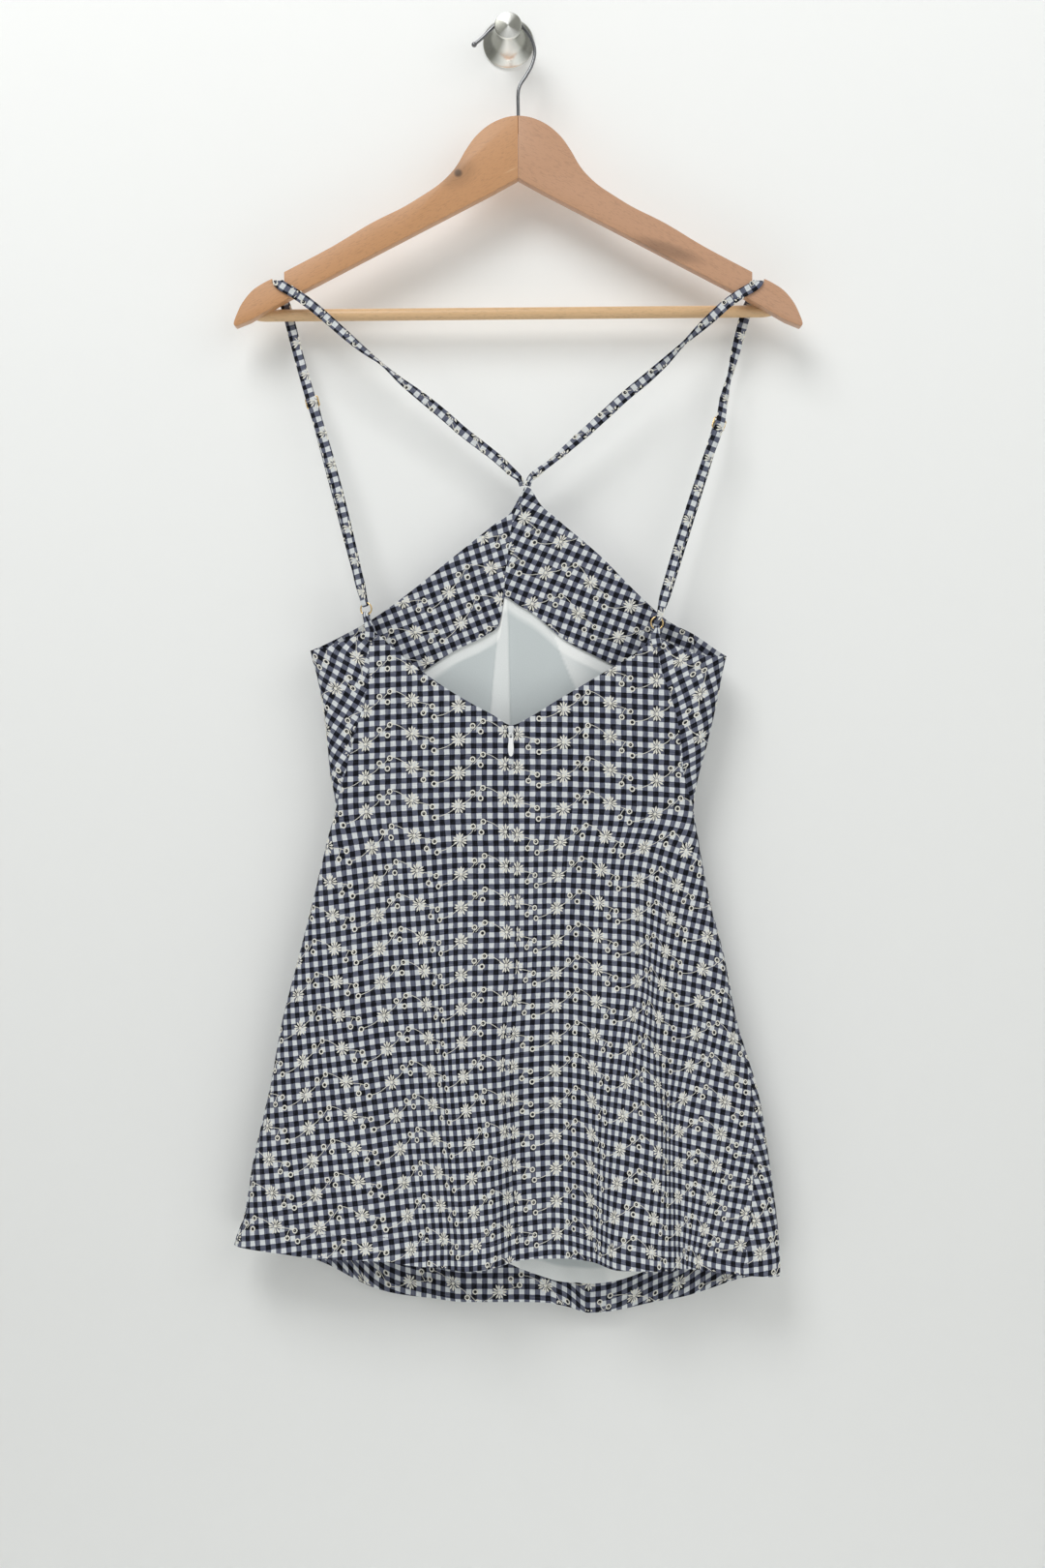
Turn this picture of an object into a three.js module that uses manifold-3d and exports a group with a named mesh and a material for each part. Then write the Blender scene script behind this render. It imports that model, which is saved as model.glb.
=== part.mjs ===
// A sundress, seen from its back, hung by its straps on a wooden hanger, whose steel hook
// hangs on a wall knob. Millimetres. +Z is up, +X is to the right as the room sees it, and the
// room lies towards -Y. The origin is the centre of the knob plate's back face, on the wall.

import Module from 'manifold-3d';
import * as THREE from 'three';
import { mergeVertices } from 'three/addons/utils/BufferGeometryUtils.js';

const wasm = await Module();
wasm.setup();

// Driving dimensions
const CLOTH = 1.2; // the wall of the checked cloth
const VOILE = 1.0; // the wall of the white lining
const GAP = 0.3; // the air between pieces that meet
const MIDDLE_Y = -35; // the upright plane of the hanger and of the hanging dress
const WAIST_Z = -615.5; // where the front bodice is sewn to the front skirt
const HEM_TURNING = 30; // depth of the front's turned-up hem
const STRAP_WIDTH = 8;
const STRAP_WIDTH_AT_RING = 4.6;
const STRAP_THICKNESS = 1.2;
const RING_RADIUS = 4.7; // to the middle of the ring's wire
const RING_WIRE = 0.6; // the wire's radius
const HANGER_CENTRE_X = 7.9;
const HANGER_THICKNESS = 12;
const BAR_RADIUS = 4.8;
const HOOK_WIRE = 1.35;
const KNOB_NECK = 5.5;

// Outline of the hanging dress by height: its left and right edges, how far its near and far
// sides stand from the middle plane, and how far in from each edge the sides round away.
const OUTLINE = [
  { z: -340, left: -155.9, right: 172.8, near: 9, far: 4, round: 15 },
  { z: -440, left: -155.9, right: 172.8, near: 10, far: 8, round: 15 },
  { z: -489, left: -155.8, right: 172.8, near: 10.5, far: 10.5, round: 15 },
  { z: -507, left: -151.2, right: 168.7, near: 11, far: 11, round: 15 },
  { z: -528, left: -146.7, right: 164.8, near: 11.5, far: 11.5, round: 15 },
  { z: -565, left: -142.1, right: 156.3, near: 11.5, far: 11.5, round: 14 },
  { z: -590, left: -139.6, right: 149.6, near: 10.5, far: 10.5, round: 13 },
  { z: -611, left: -135.9, right: 146.2, near: 10, far: 10, round: 12 },
  { z: -637, left: -142.1, right: 149.5, near: 10.5, far: 11, round: 13 },
  { z: -689.5, left: -154.6, right: 159.6, near: 12, far: 13, round: 17 },
  { z: -731, left: -165.2, right: 170.2, near: 13.5, far: 14, round: 20 },
  { z: -782, left: -178.2, right: 180.1, near: 15, far: 15.5, round: 23 },
  { z: -839, left: -188.6, right: 197, near: 16.5, far: 16.5, round: 26 },
  { z: -892, left: -200.6, right: 205.6, near: 17.5, far: 17, round: 28 },
  { z: -938, left: -208.6, right: 211.6, near: 18, far: 17.5, round: 29 },
  { z: -957.6, left: -215.6, right: 213.3, near: 18, far: 17.5, round: 29 },
  { z: -981.8, left: -218.6, right: 213.9, near: 18, far: 17.5, round: 29 },
  { z: -1020, left: -220, right: 214, near: 18, far: 17.5, round: 29 },
];

// Where each side seam lies on the near side, as its distance round from that side's fold
const SEAMS = [
  { z: -470, left: 52, right: 63 },
  { z: -497, left: 49, right: 57 },
  { z: -528, left: 39, right: 41 },
  { z: -553, left: 28.7, right: 29.5 },
  { z: -575, left: 20.5, right: 22 },
  { z: -590, left: 15, right: 15.5 },
  { z: -605, left: 6, right: 7 },
  { z: -615.5, left: 1, right: 1.5 },
  { z: -700, left: 0.5, right: 1 },
  { z: -760, left: 0.5, right: 3 },
  { z: -815, left: 1, right: 6 },
  { z: -870, left: 3.5, right: 15 },
  { z: -925, left: 4, right: 25.5 },
  { z: -980, left: 1, right: 38 },
];

// Centre back seam, and the centre front seam on the far side
const CENTRE_SEAMS = [
  { z: -340, back: 2, front: 13.6 },
  { z: -362, back: 2, front: 13.2 },
  { z: -381, back: 2, front: 5 },
  { z: -417, back: 2, front: -0.8 },
  { z: -445, back: 2, front: -3.2 },
  { z: -548, back: 2.2, front: -1 },
  { z: -640, back: 2, front: 1 },
  { z: -705, back: 5.5, front: 2 },
  { z: -728, back: 6.6, front: 2 },
  { z: -774, back: 1.5, front: 2 },
  { z: -803, back: -1.4, front: 2 },
  { z: -855, back: 0.9, front: 2 },
  { z: -917, back: 5, front: 2 },
  { z: -962, back: 9.5, front: 2 },
  { z: -1020, back: 11, front: 2 },
];

// Soft steps that run down the skirt. Each rises towards the outside by rise over width, along
// a line from topX at topZ to hemX at the hem, and is fully formed at fullZ.
const HEM_Z = -965;
const NEAR_STEPS = [
  { topX: -72, topZ: -640, hemX: -45, fullZ: -930, width: 30, rise: 9.5 },
  { topX: 8, topZ: -640, hemX: -4, fullZ: -930, width: 34, rise: -14.5 },
  { topX: 62, topZ: -660, hemX: 77, fullZ: -950, width: 32, rise: 11.5 },
  { topX: 99, topZ: -628, hemX: 131, fullZ: -860, width: 19, rise: -8 },
  { topX: 128, topZ: -640, hemX: 188, fullZ: -860, width: 26, rise: -3.5 },
  { topX: -128, topZ: -650, hemX: -166, fullZ: -900, width: 46, rise: 3 },
];
const FAR_STEPS = [
  { topX: -84, topZ: -645, hemX: -118, fullZ: -930, width: 42, rise: 5.5 },
  { topX: -26, topZ: -660, hemX: -48, fullZ: -950, width: 38, rise: -9.5 },
  { topX: 26, topZ: -640, hemX: 46, fullZ: -940, width: 26, rise: 9 },
  { topX: 84, topZ: -655, hemX: 122, fullZ: -930, width: 44, rise: -8 },
  { topX: 118, topZ: -690, hemX: 166, fullZ: -940, width: 30, rise: 3.5 },
];

// Cut edges, as heights across the dress
const NECKLINE = [
  { x: -112, z: -474.5 },
  { x: -106.1, z: -475.3 },
  { x: -85.3, z: -492.8 },
  { x: -52.4, z: -517.5 },
  { x: -31.1, z: -530.6 },
  { x: -11.4, z: -541.2 },
  { x: 2.1, z: -549 },
  { x: 18.1, z: -542 },
  { x: 37.8, z: -529.9 },
  { x: 70.7, z: -510.2 },
  { x: 103.6, z: -489.6 },
  { x: 115, z: -479.5 },
  { x: 121, z: -480 },
];
const NEAR_ARMHOLE = [
  { x: -156, z: -490 },
  { x: -146, z: -489 },
  { x: -132.9, z: -484.6 },
  { x: -121.5, z: -480 },
  { x: -109.4, z: -475 },
  { x: 0, z: -470 },
  { x: 118, z: -480 },
  { x: 127, z: -484.7 },
  { x: 140.6, z: -490.8 },
  { x: 154, z: -494 },
  { x: 173, z: -495 },
];
const FAR_NECK = [
  { x: -156, z: -490 },
  { x: -134.3, z: -479.3 },
  { x: -108, z: -465 },
  { x: -78, z: -443.5 },
  { x: -44.9, z: -416.9 },
  { x: -11.7, z: -390.4 },
  { x: 5, z: -376.6 },
  { x: 8.6, z: -362 },
  { x: 13.2, z: -360.2 },
  { x: 17.8, z: -362 },
  { x: 24.5, z: -373 },
  { x: 38.1, z: -385.4 },
  { x: 71.4, z: -413.6 },
  { x: 104.7, z: -446.8 },
  { x: 126.2, z: -465.9 },
  { x: 147.7, z: -477.2 },
  { x: 173, z: -495 },
];
const FACING_EDGE = [
  { x: -145, z: -541 },
  { x: -100, z: -522 },
  { x: -67.8, z: -505.8 },
  { x: -41.6, z: -489.2 },
  { x: -16.6, z: -476.7 },
  { x: -6.6, z: -468.4 },
  { x: -3.4, z: -447 },
  { x: 8.2, z: -453.5 },
  { x: 21.6, z: -461.7 },
  { x: 43.2, z: -480.1 },
  { x: 71.4, z: -495 },
  { x: 100, z: -510 },
  { x: 160, z: -545 },
];
const NEAR_HEM = [
  { x: -216, z: -957.6 },
  { x: -200.6, z: -958.9 },
  { x: -151.2, z: -964.5 },
  { x: -99, z: -966.8 },
  { x: -70, z: -970.4 },
  { x: -32, z: -972.6 },
  { x: 0, z: -968.3 },
  { x: 20, z: -965.4 },
  { x: 46, z: -965.2 },
  { x: 67.2, z: -968.2 },
  { x: 83.8, z: -972.2 },
  { x: 114.8, z: -973.1 },
  { x: 140, z: -972.8 },
  { x: 173.4, z: -977.3 },
  { x: 214, z: -981.8 },
];
const FAR_HEM = [
  { x: -216, z: -957.6 },
  { x: -180, z: -964 },
  { x: -143, z: -976.8 },
  { x: -107.2, z: -996.5 },
  { x: -65.3, z: -1004.5 },
  { x: -32.9, z: -1005.9 },
  { x: 11.3, z: -1005.9 },
  { x: 32.6, z: -1006.5 },
  { x: 44, z: -1009.4 },
  { x: 62.6, z: -1016.5 },
  { x: 82.5, z: -1015.1 },
  { x: 111, z: -1008.7 },
  { x: 139.1, z: -1001.5 },
  { x: 182.2, z: -988.1 },
  { x: 214, z: -981.8 },
];
const LINING_HEM = [
  { x: -200, z: -940 },
  { x: -120, z: -962 },
  { x: -50, z: -973 },
  { x: 0, z: -974.5 },
  { x: 11.3, z: -979.3 },
  { x: 29.7, z: -985.7 },
  { x: 46.6, z: -990.7 },
  { x: 68.1, z: -992 },
  { x: 89.4, z: -989.2 },
  { x: 116.5, z: -979.3 },
  { x: 150, z: -969 },
  { x: 200, z: -958 },
];

// Materials, one for each finish
function finish(colour, roughness, metalness) {
  return new THREE.MeshStandardMaterial({ color: colour, roughness, metalness, side: THREE.DoubleSide });
}
const gingham = () => finish(0x8c8f9c, 0.9, 0);
const voile = () => finish(0xe6e9e8, 0.85, 0);
const beech = () => finish(0xd9bf98, 0.55, 0);
const steel = () => finish(0xb9babb, 0.3, 1);
const knobSteel = () => finish(0xa9aaa8, 0.38, 1);
const gilt = () => finish(0xc9a878, 0.3, 1);
const whiteEnamel = () => finish(0xeceeee, 0.35, 0);

const dress = new THREE.Group();

function add(name, geometry, material) {
  const mesh = new THREE.Mesh(geometry, material);
  mesh.name = name;
  dress.add(mesh);
  return mesh;
}

// Number helpers
const clamp01 = (t) => Math.min(1, Math.max(0, t));
const mix = (a, b, t) => a + (b - a) * t;
const smooth = (t) => clamp01(t) ** 2 * (3 - 2 * clamp01(t));

// Reads a column of a table at a place between its rows, along a smooth line through them
function track(rows, along, column, at) {
  const rising = rows[rows.length - 1][along] > rows[0][along];
  let i = 0;
  while (i < rows.length - 2 && (rising ? at > rows[i + 1][along] : at < rows[i + 1][along])) i += 1;
  const [a, b] = [rows[i], rows[i + 1]];
  const span = b[along] - a[along];
  const t = clamp01((at - a[along]) / span);
  const slope = (p, q) => (q[column] - p[column]) / (q[along] - p[along]);
  const chord = slope(a, b);
  const level = (m) => (m * chord <= 0 ? 0 : Math.sign(chord) * Math.min(Math.abs(m), 2 * Math.abs(chord)));
  const m0 = i > 0 ? level((slope(rows[i - 1], a) + chord) / 2) : chord;
  const m1 = i < rows.length - 2 ? level((slope(b, rows[i + 2]) + chord) / 2) : chord;
  const [t2, t3] = [t * t, t * t * t];
  return (2 * t3 - 3 * t2 + 1) * a[column] + (t3 - 2 * t2 + t) * span * m0
    + (3 * t2 - 2 * t3) * b[column] + (t3 - t2) * span * m1;
}

// How far a set of steps stands out at a place on the skirt
function stepHeight(steps, x, z) {
  let height = 0;
  for (const step of steps) {
    const down = (step.topZ - z) / (step.topZ - HEM_Z);
    const line = mix(step.topX, step.hemX, down);
    const formed = smooth((step.topZ - z) / (step.topZ - step.fullZ));
    height += step.rise * formed * smooth((x - line) / step.width + 0.5);
  }
  return height;
}

// The dress is a flattened tube. At each height its section runs from the left fold along the
// near side to the right fold, and back along the far side.
const SECTION_STEPS = 72;
const sections = new Map();

function sectionAt(z) {
  const key = z.toFixed(4);
  if (sections.has(key)) return sections.get(key);
  const [left, right, near, far, round] = ['left', 'right', 'near', 'far', 'round']
    .map((column) => track(OUTLINE, 'z', column, z));
  const points = [];
  const depth = (x, reach, steps) => {
    const inFromEdge = Math.min(x - left, right - x);
    const corner = Math.sqrt(1 - (1 - clamp01(inFromEdge / round)) ** 2);
    const across = (2 * x - left - right) / (right - left);
    const settled = smooth(inFromEdge / 45);
    return reach * corner * (0.8 + 0.2 * (1 - across ** 2)) + stepHeight(steps, x, z) * settled;
  };
  for (let i = 0; i < 2 * SECTION_STEPS; i += 1) {
    const turn = (Math.PI * i) / SECTION_STEPS;
    const x = (left + right) / 2 - ((right - left) / 2) * Math.cos(turn);
    const y = i <= SECTION_STEPS
      ? MIDDLE_Y - depth(x, near, NEAR_STEPS)
      : MIDDLE_Y + depth(x, far, FAR_STEPS);
    points.push({ x, y });
  }
  points.push({ ...points[0] });
  const lengths = [0];
  for (let i = 1; i < points.length; i += 1) {
    lengths.push(lengths[i - 1] + Math.hypot(points[i].x - points[i - 1].x, points[i].y - points[i - 1].y));
  }
  const section = { points, lengths, half: lengths[SECTION_STEPS], whole: lengths[2 * SECTION_STEPS] };
  sections.set(key, section);
  return section;
}

// The place on the section at a distance round from the left fold
function onSection(z, along) {
  const { points, lengths, whole } = sectionAt(z);
  const round = ((along % whole) + whole) % whole;
  let low = 0;
  let high = lengths.length - 1;
  while (high - low > 1) {
    const middle = (low + high) >> 1;
    if (lengths[middle] <= round) low = middle;
    else high = middle;
  }
  const t = (round - lengths[low]) / (lengths[high] - lengths[low]);
  return new THREE.Vector3(
    mix(points[low].x, points[high].x, t),
    mix(points[low].y, points[high].y, t),
    z,
  );
}

// The distance round at which the near or far side passes x
function distanceAt(z, x, side) {
  const { points, lengths } = sectionAt(z);
  const start = side === 'near' ? 0 : SECTION_STEPS;
  const sign = side === 'near' ? 1 : -1;
  for (let i = start; i < start + SECTION_STEPS; i += 1) {
    const reached = (points[i + 1].x - x) * sign >= 0;
    if (reached || i === start + SECTION_STEPS - 1) {
      const t = clamp01((x - points[i].x) / (points[i + 1].x - points[i].x));
      return mix(lengths[i], lengths[i + 1], t);
    }
  }
  return lengths[start];
}

// The seams, as distances round from the left fold
const seam = {
  left: (z) => track(SEAMS, 'z', 'left', z),
  right: (z) => sectionAt(z).half - track(SEAMS, 'z', 'right', z),
  leftAgain: (z) => sectionAt(z).whole + track(SEAMS, 'z', 'left', z),
  back: (z) => distanceAt(z, track(CENTRE_SEAMS, 'z', 'back', z), 'near'),
  front: (z) => distanceAt(z, track(CENTRE_SEAMS, 'z', 'front', z), 'far'),
};

// A place on the cloth and the way its outside faces there
const FEEL = 0.6;
function clothAt(along, z) {
  const across = onSection(z, along + FEEL).sub(onSection(z, along - FEEL));
  const here = onSection(z, along);
  const { half } = sectionAt(z);
  const near = along < half;
  const measured = (height) => (near ? along * (sectionAt(height).half / half)
    : sectionAt(height).half + (along - half) * ((sectionAt(height).whole - sectionAt(height).half)
      / (sectionAt(z).whole - half)));
  const up = onSection(z + FEEL, measured(z + FEEL)).sub(onSection(z - FEEL, measured(z - FEEL)));
  const outward = new THREE.Vector3().crossVectors(across, up).normalize();
  return { here, outward };
}

// Solves for the height where a column of the cloth meets a cut edge
function edgeHeight(alongAt, edges, start, shift = 0) {
  let z = start;
  for (let i = 0; i < 24; i += 1) {
    const along = alongAt(z);
    const { half, whole } = sectionAt(z);
    const x = onSection(z, along).x;
    const round = ((along % whole) + whole) % whole;
    const aim = track(round < half ? edges.near : edges.far, 'x', 'z', x) + shift;
    z = mix(z, aim, 0.6);
  }
  return z;
}

// A closed wall between two skins over a grid of columns and rows
function wallOver(columns, rows, skin) {
  const places = [];
  for (let side = 0; side < 2; side += 1) {
    for (let i = 0; i <= columns; i += 1) {
      for (let j = 0; j <= rows; j += 1) places.push(skin(i, j, side));
    }
  }
  const at = (i, j, side) => side * (columns + 1) * (rows + 1) + i * (rows + 1) + j;
  const faces = [];
  const quad = (a, b, c, d) => faces.push(a, b, c, a, c, d);
  for (let i = 0; i < columns; i += 1) {
    for (let j = 0; j < rows; j += 1) {
      quad(at(i, j, 0), at(i + 1, j, 0), at(i + 1, j + 1, 0), at(i, j + 1, 0));
      quad(at(i, j, 1), at(i, j + 1, 1), at(i + 1, j + 1, 1), at(i + 1, j, 1));
    }
    quad(at(i, 0, 0), at(i, 0, 1), at(i + 1, 0, 1), at(i + 1, 0, 0));
    quad(at(i, rows, 0), at(i + 1, rows, 0), at(i + 1, rows, 1), at(i, rows, 1));
  }
  for (let j = 0; j < rows; j += 1) {
    quad(at(0, j, 0), at(0, j + 1, 0), at(0, j + 1, 1), at(0, j, 1));
    quad(at(columns, j, 0), at(columns, j, 1), at(columns, j + 1, 1), at(columns, j + 1, 0));
  }
  return closedBody(places, faces);
}

// A geometry from places and faces, turned so that its faces point out
function closedBody(places, faces) {
  let volume = 0;
  for (let i = 0; i < faces.length; i += 3) {
    const [a, b, c] = [places[faces[i]], places[faces[i + 1]], places[faces[i + 2]]];
    volume += a.dot(new THREE.Vector3().crossVectors(b, c));
  }
  if (volume < 0) {
    for (let i = 0; i < faces.length; i += 3) [faces[i + 1], faces[i + 2]] = [faces[i + 2], faces[i + 1]];
  }
  const geometry = new THREE.BufferGeometry();
  geometry.setAttribute('position', new THREE.Float32BufferAttribute(places.flatMap((p) => p.toArray()), 3));
  geometry.setIndex(faces);
  geometry.computeVertexNormals();
  return geometry;
}

// Panels that meet along a seam have rows at the same heights there: the lowest is as deep as
// the hem's turning, SKIRT_ROWS reach the waist and BODICE_ROWS lie above it.
const SKIRT_ROWS = 13;
const BODICE_ROWS = 11;
function rowHeight(bottom, top, row, rows) {
  if (rows === BODICE_ROWS) return mix(bottom, top, row / rows);
  if (row === 0) return bottom;
  const waist = Math.min(WAIST_Z, top);
  if (row > SKIRT_ROWS) return mix(waist, top, (row - SKIRT_ROWS) / BODICE_ROWS);
  return mix(bottom + HEM_TURNING, waist, (row - 1) / (SKIRT_ROWS - 1));
}

// A cloth panel: it spans from one seam to another, and from a lower to an upper edge. Columns
// crowd towards the ends as crowd asks. layer holds the two skins' distances outwards.
function panel({ from, to, lower, upper, columns, rows, crowd, layer, startZ }) {
  const lines = [];
  for (let i = 0; i <= columns; i += 1) {
    const t = crowd(i / columns);
    const alongAt = (z) => mix(from(z) + GAP / 2, to(z) - GAP / 2, t);
    lines.push({
      alongAt,
      bottom: typeof lower === 'number' ? lower : edgeHeight(alongAt, lower, startZ.bottom),
      top: typeof upper === 'number' ? upper : edgeHeight(alongAt, upper, startZ.top),
    });
  }
  return wallOver(columns, rows, (i, j, side) => {
    const { alongAt, bottom, top } = lines[i];
    const z = rowHeight(bottom, top, j, rows);
    const { here, outward } = clothAt(alongAt(z), z);
    return here.addScaledVector(outward, layer[side]);
  });
}

const OUTER_LAYER = [-CLOTH / 2, CLOTH / 2];
const crowdAtStart = (t) => t ** 1.35;
const crowdAtEnd = (t) => 1 - (1 - t) ** 1.35;
const crowdAtEnds = (t) => mix(t, (1 - Math.cos(Math.PI * t)) / 2, 0.7);

// Both back panels run from the neckline to the hem, with no waist seam
function backPanel(side) {
  const isLeft = side === 'left';
  return panel({
    from: isLeft ? seam.left : seam.back,
    to: isLeft ? seam.back : seam.right,
    lower: { near: NEAR_HEM, far: FAR_HEM },
    upper: { near: NECKLINE, far: NECKLINE },
    columns: 19,
    rows: SKIRT_ROWS + BODICE_ROWS,
    crowd: isLeft ? crowdAtStart : crowdAtEnd,
    layer: OUTER_LAYER,
    startZ: { bottom: -965, top: -515 },
  });
}

// The front bodice halves start at the centre front, pass the armhole and lap onto the back
function frontBodice(side) {
  const isLeft = side === 'left';
  return panel({
    from: isLeft ? seam.front : seam.right,
    to: isLeft ? seam.leftAgain : seam.front,
    lower: WAIST_Z + GAP / 2,
    upper: { near: NEAR_ARMHOLE, far: FAR_NECK },
    columns: 17,
    rows: BODICE_ROWS,
    crowd: isLeft ? crowdAtEnd : crowdAtStart,
    layer: OUTER_LAYER,
    startZ: { bottom: -600, top: -480 },
  });
}

const SKIRT_COLUMNS = 30;
function frontSkirt() {
  return panel({
    from: seam.right,
    to: seam.leftAgain,
    lower: { near: NEAR_HEM, far: FAR_HEM },
    upper: WAIST_Z - GAP / 2,
    columns: SKIRT_COLUMNS,
    rows: SKIRT_ROWS,
    crowd: crowdAtEnds,
    layer: OUTER_LAYER,
    startZ: { bottom: -985, top: -615 },
  });
}

// The pieces inside the front lie on its far side and are given by places across it. ends are
// the x of each end, and layer gives how far inside the cloth the two skins lie.
function insidePanel({ ends, lower, upper, columns, rows, layer }) {
  return wallOver(columns, rows, (i, j, side) => {
    const s = i / columns;
    const v = j / rows;
    let z = -500;
    let x = 0;
    for (let k = 0; k < 30; k += 1) {
      x = mix(ends[0](z), ends[1](z), s);
      z = mix(z, mix(lower(x), upper(x), v), 0.5);
    }
    const { here, outward } = clothAt(distanceAt(z, x, 'far'), z);
    return here.addScaledVector(outward, layer(v, x, z)[side]);
  });
}

const INSIDE_MARGIN = 26; // how far the inside pieces end from the dress's side folds
const leftEnd = (z) => track(OUTLINE, 'z', 'left', z) + INSIDE_MARGIN;
const rightEnd = (z) => track(OUTLINE, 'z', 'right', z) - INSIDE_MARGIN;
const centreFront = (z) => track(CENTRE_SEAMS, 'z', 'front', z);

// The neck facings back the front's upper edge. Their lower edge stands off to clear the lining.
function neckFacing(side) {
  const ends = side === 'left'
    ? [leftEnd, (z) => centreFront(z) - GAP / 2]
    : [(z) => centreFront(z) + GAP / 2, rightEnd];
  return insidePanel({
    ends,
    lower: (x) => track(FACING_EDGE, 'x', 'z', x),
    upper: (x) => track(FAR_NECK, 'x', 'z', x),
    columns: 11,
    rows: 7,
    layer: (v) => {
      const outer = -mix(VOILE + 4 * GAP, GAP, smooth(v * 1.8 - 0.35)) - CLOTH / 2;
      return [outer - CLOTH, outer];
    },
  });
}

// Soft upright folds of the lining, which hangs free below the facing
const LINING_FOLDS = [
  { topX: -4, hemX: -30, width: 16, depth: 2.6 },
  { topX: 38, hemX: 62, width: 22, depth: 2.2 },
  { topX: -52, hemX: -88, width: 24, depth: 1.8 },
  { topX: 88, hemX: 118, width: 24, depth: 1.6 },
];
function liningFold(x, z) {
  const down = (-450 - z) / (-450 - HEM_Z);
  let depth = 0;
  for (const fold of LINING_FOLDS) {
    const off = (x - mix(fold.topX, fold.hemX, down)) / fold.width;
    depth += fold.depth * Math.exp(-off * off * 2);
  }
  return depth * smooth((-478 - z) / 60);
}
function frontLining() {
  const tuck = 4; // how far its top edge goes up behind the facing
  return insidePanel({
    ends: [leftEnd, rightEnd],
    lower: (x) => track(LINING_HEM, 'x', 'z', x),
    upper: (x) => Math.max(track(FACING_EDGE, 'x', 'z', x), -533) + tuck,
    columns: 18,
    rows: 20,
    layer: (v, x, z) => {
      const hang = smooth((-520 - z) / 90);
      const outer = -CLOTH / 2 - GAP - mix(0, CLOTH + 2 * GAP + 0.9, hang) - liningFold(x, z);
      return [outer - VOILE, outer];
    },
  });
}

// The front's hem is turned up inside it
function frontHemFacing() {
  const inner = -CLOTH / 2 - GAP;
  const lines = [];
  for (let i = 0; i <= SKIRT_COLUMNS; i += 1) {
    const t = crowdAtEnds(i / SKIRT_COLUMNS);
    const alongAt = (z) => mix(seam.right(z) + GAP / 2, seam.leftAgain(z) - GAP / 2, t);
    lines.push({ alongAt, bottom: edgeHeight(alongAt, { near: NEAR_HEM, far: FAR_HEM }, -985) });
  }
  return wallOver(SKIRT_COLUMNS, 1, (i, j, side) => {
    const z = lines[i].bottom + HEM_TURNING * j;
    const { here, outward } = clothAt(lines[i].alongAt(z), z);
    return here.addScaledVector(outward, side === 0 ? inner - CLOTH : inner);
  });
}

// A flat strip swept along stations. Each station has its centre, the way its width points, its
// width and its thickness.
const STRIP_SOFTNESS = 0.35; // how much its long edges are rounded
function sweptStrip(stations) {
  const ring = [];
  const last = stations.length - 1;
  stations.forEach((station, i) => {
    const ahead = stations[Math.min(i + 1, last)].centre;
    const behind = stations[Math.max(i - 1, 0)].centre;
    const run = ahead.clone().sub(behind).normalize();
    const across = station.across.clone().addScaledVector(run, -station.across.dot(run)).normalize();
    const through = new THREE.Vector3().crossVectors(run, across);
    const [w, t, soft] = [station.width / 2, station.thickness / 2, STRIP_SOFTNESS];
    const outline = [[w, -t + soft], [w, t - soft], [w - soft, t], [-w + soft, t],
      [-w, t - soft], [-w, -t + soft], [-w + soft, -t], [w - soft, -t]];
    for (const [a, b] of outline) {
      ring.push(station.centre.clone().addScaledVector(across, a).addScaledVector(through, b));
    }
  });
  const sides = 8;
  const faces = [];
  for (let i = 0; i < last; i += 1) {
    for (let k = 0; k < sides; k += 1) {
      const [a, b] = [i * sides + k, i * sides + ((k + 1) % sides)];
      faces.push(a, b, b + sides, a, b + sides, a + sides);
    }
  }
  for (let k = 1; k < sides - 1; k += 1) {
    faces.push(0, k + 1, k);
    faces.push(last * sides, last * sides + k, last * sides + k + 1);
  }
  return closedBody(ring, faces);
}

const radians = THREE.MathUtils.degToRad;

// The way a strip's width points: lean tips it up from +X, and turn twists it about its run
function widthWay(run, lean, turn) {
  const flat = new THREE.Vector3(Math.cos(radians(lean)), 0, Math.sin(radians(lean)));
  return flat.applyAxisAngle(run.clone().normalize(), radians(turn));
}

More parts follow.
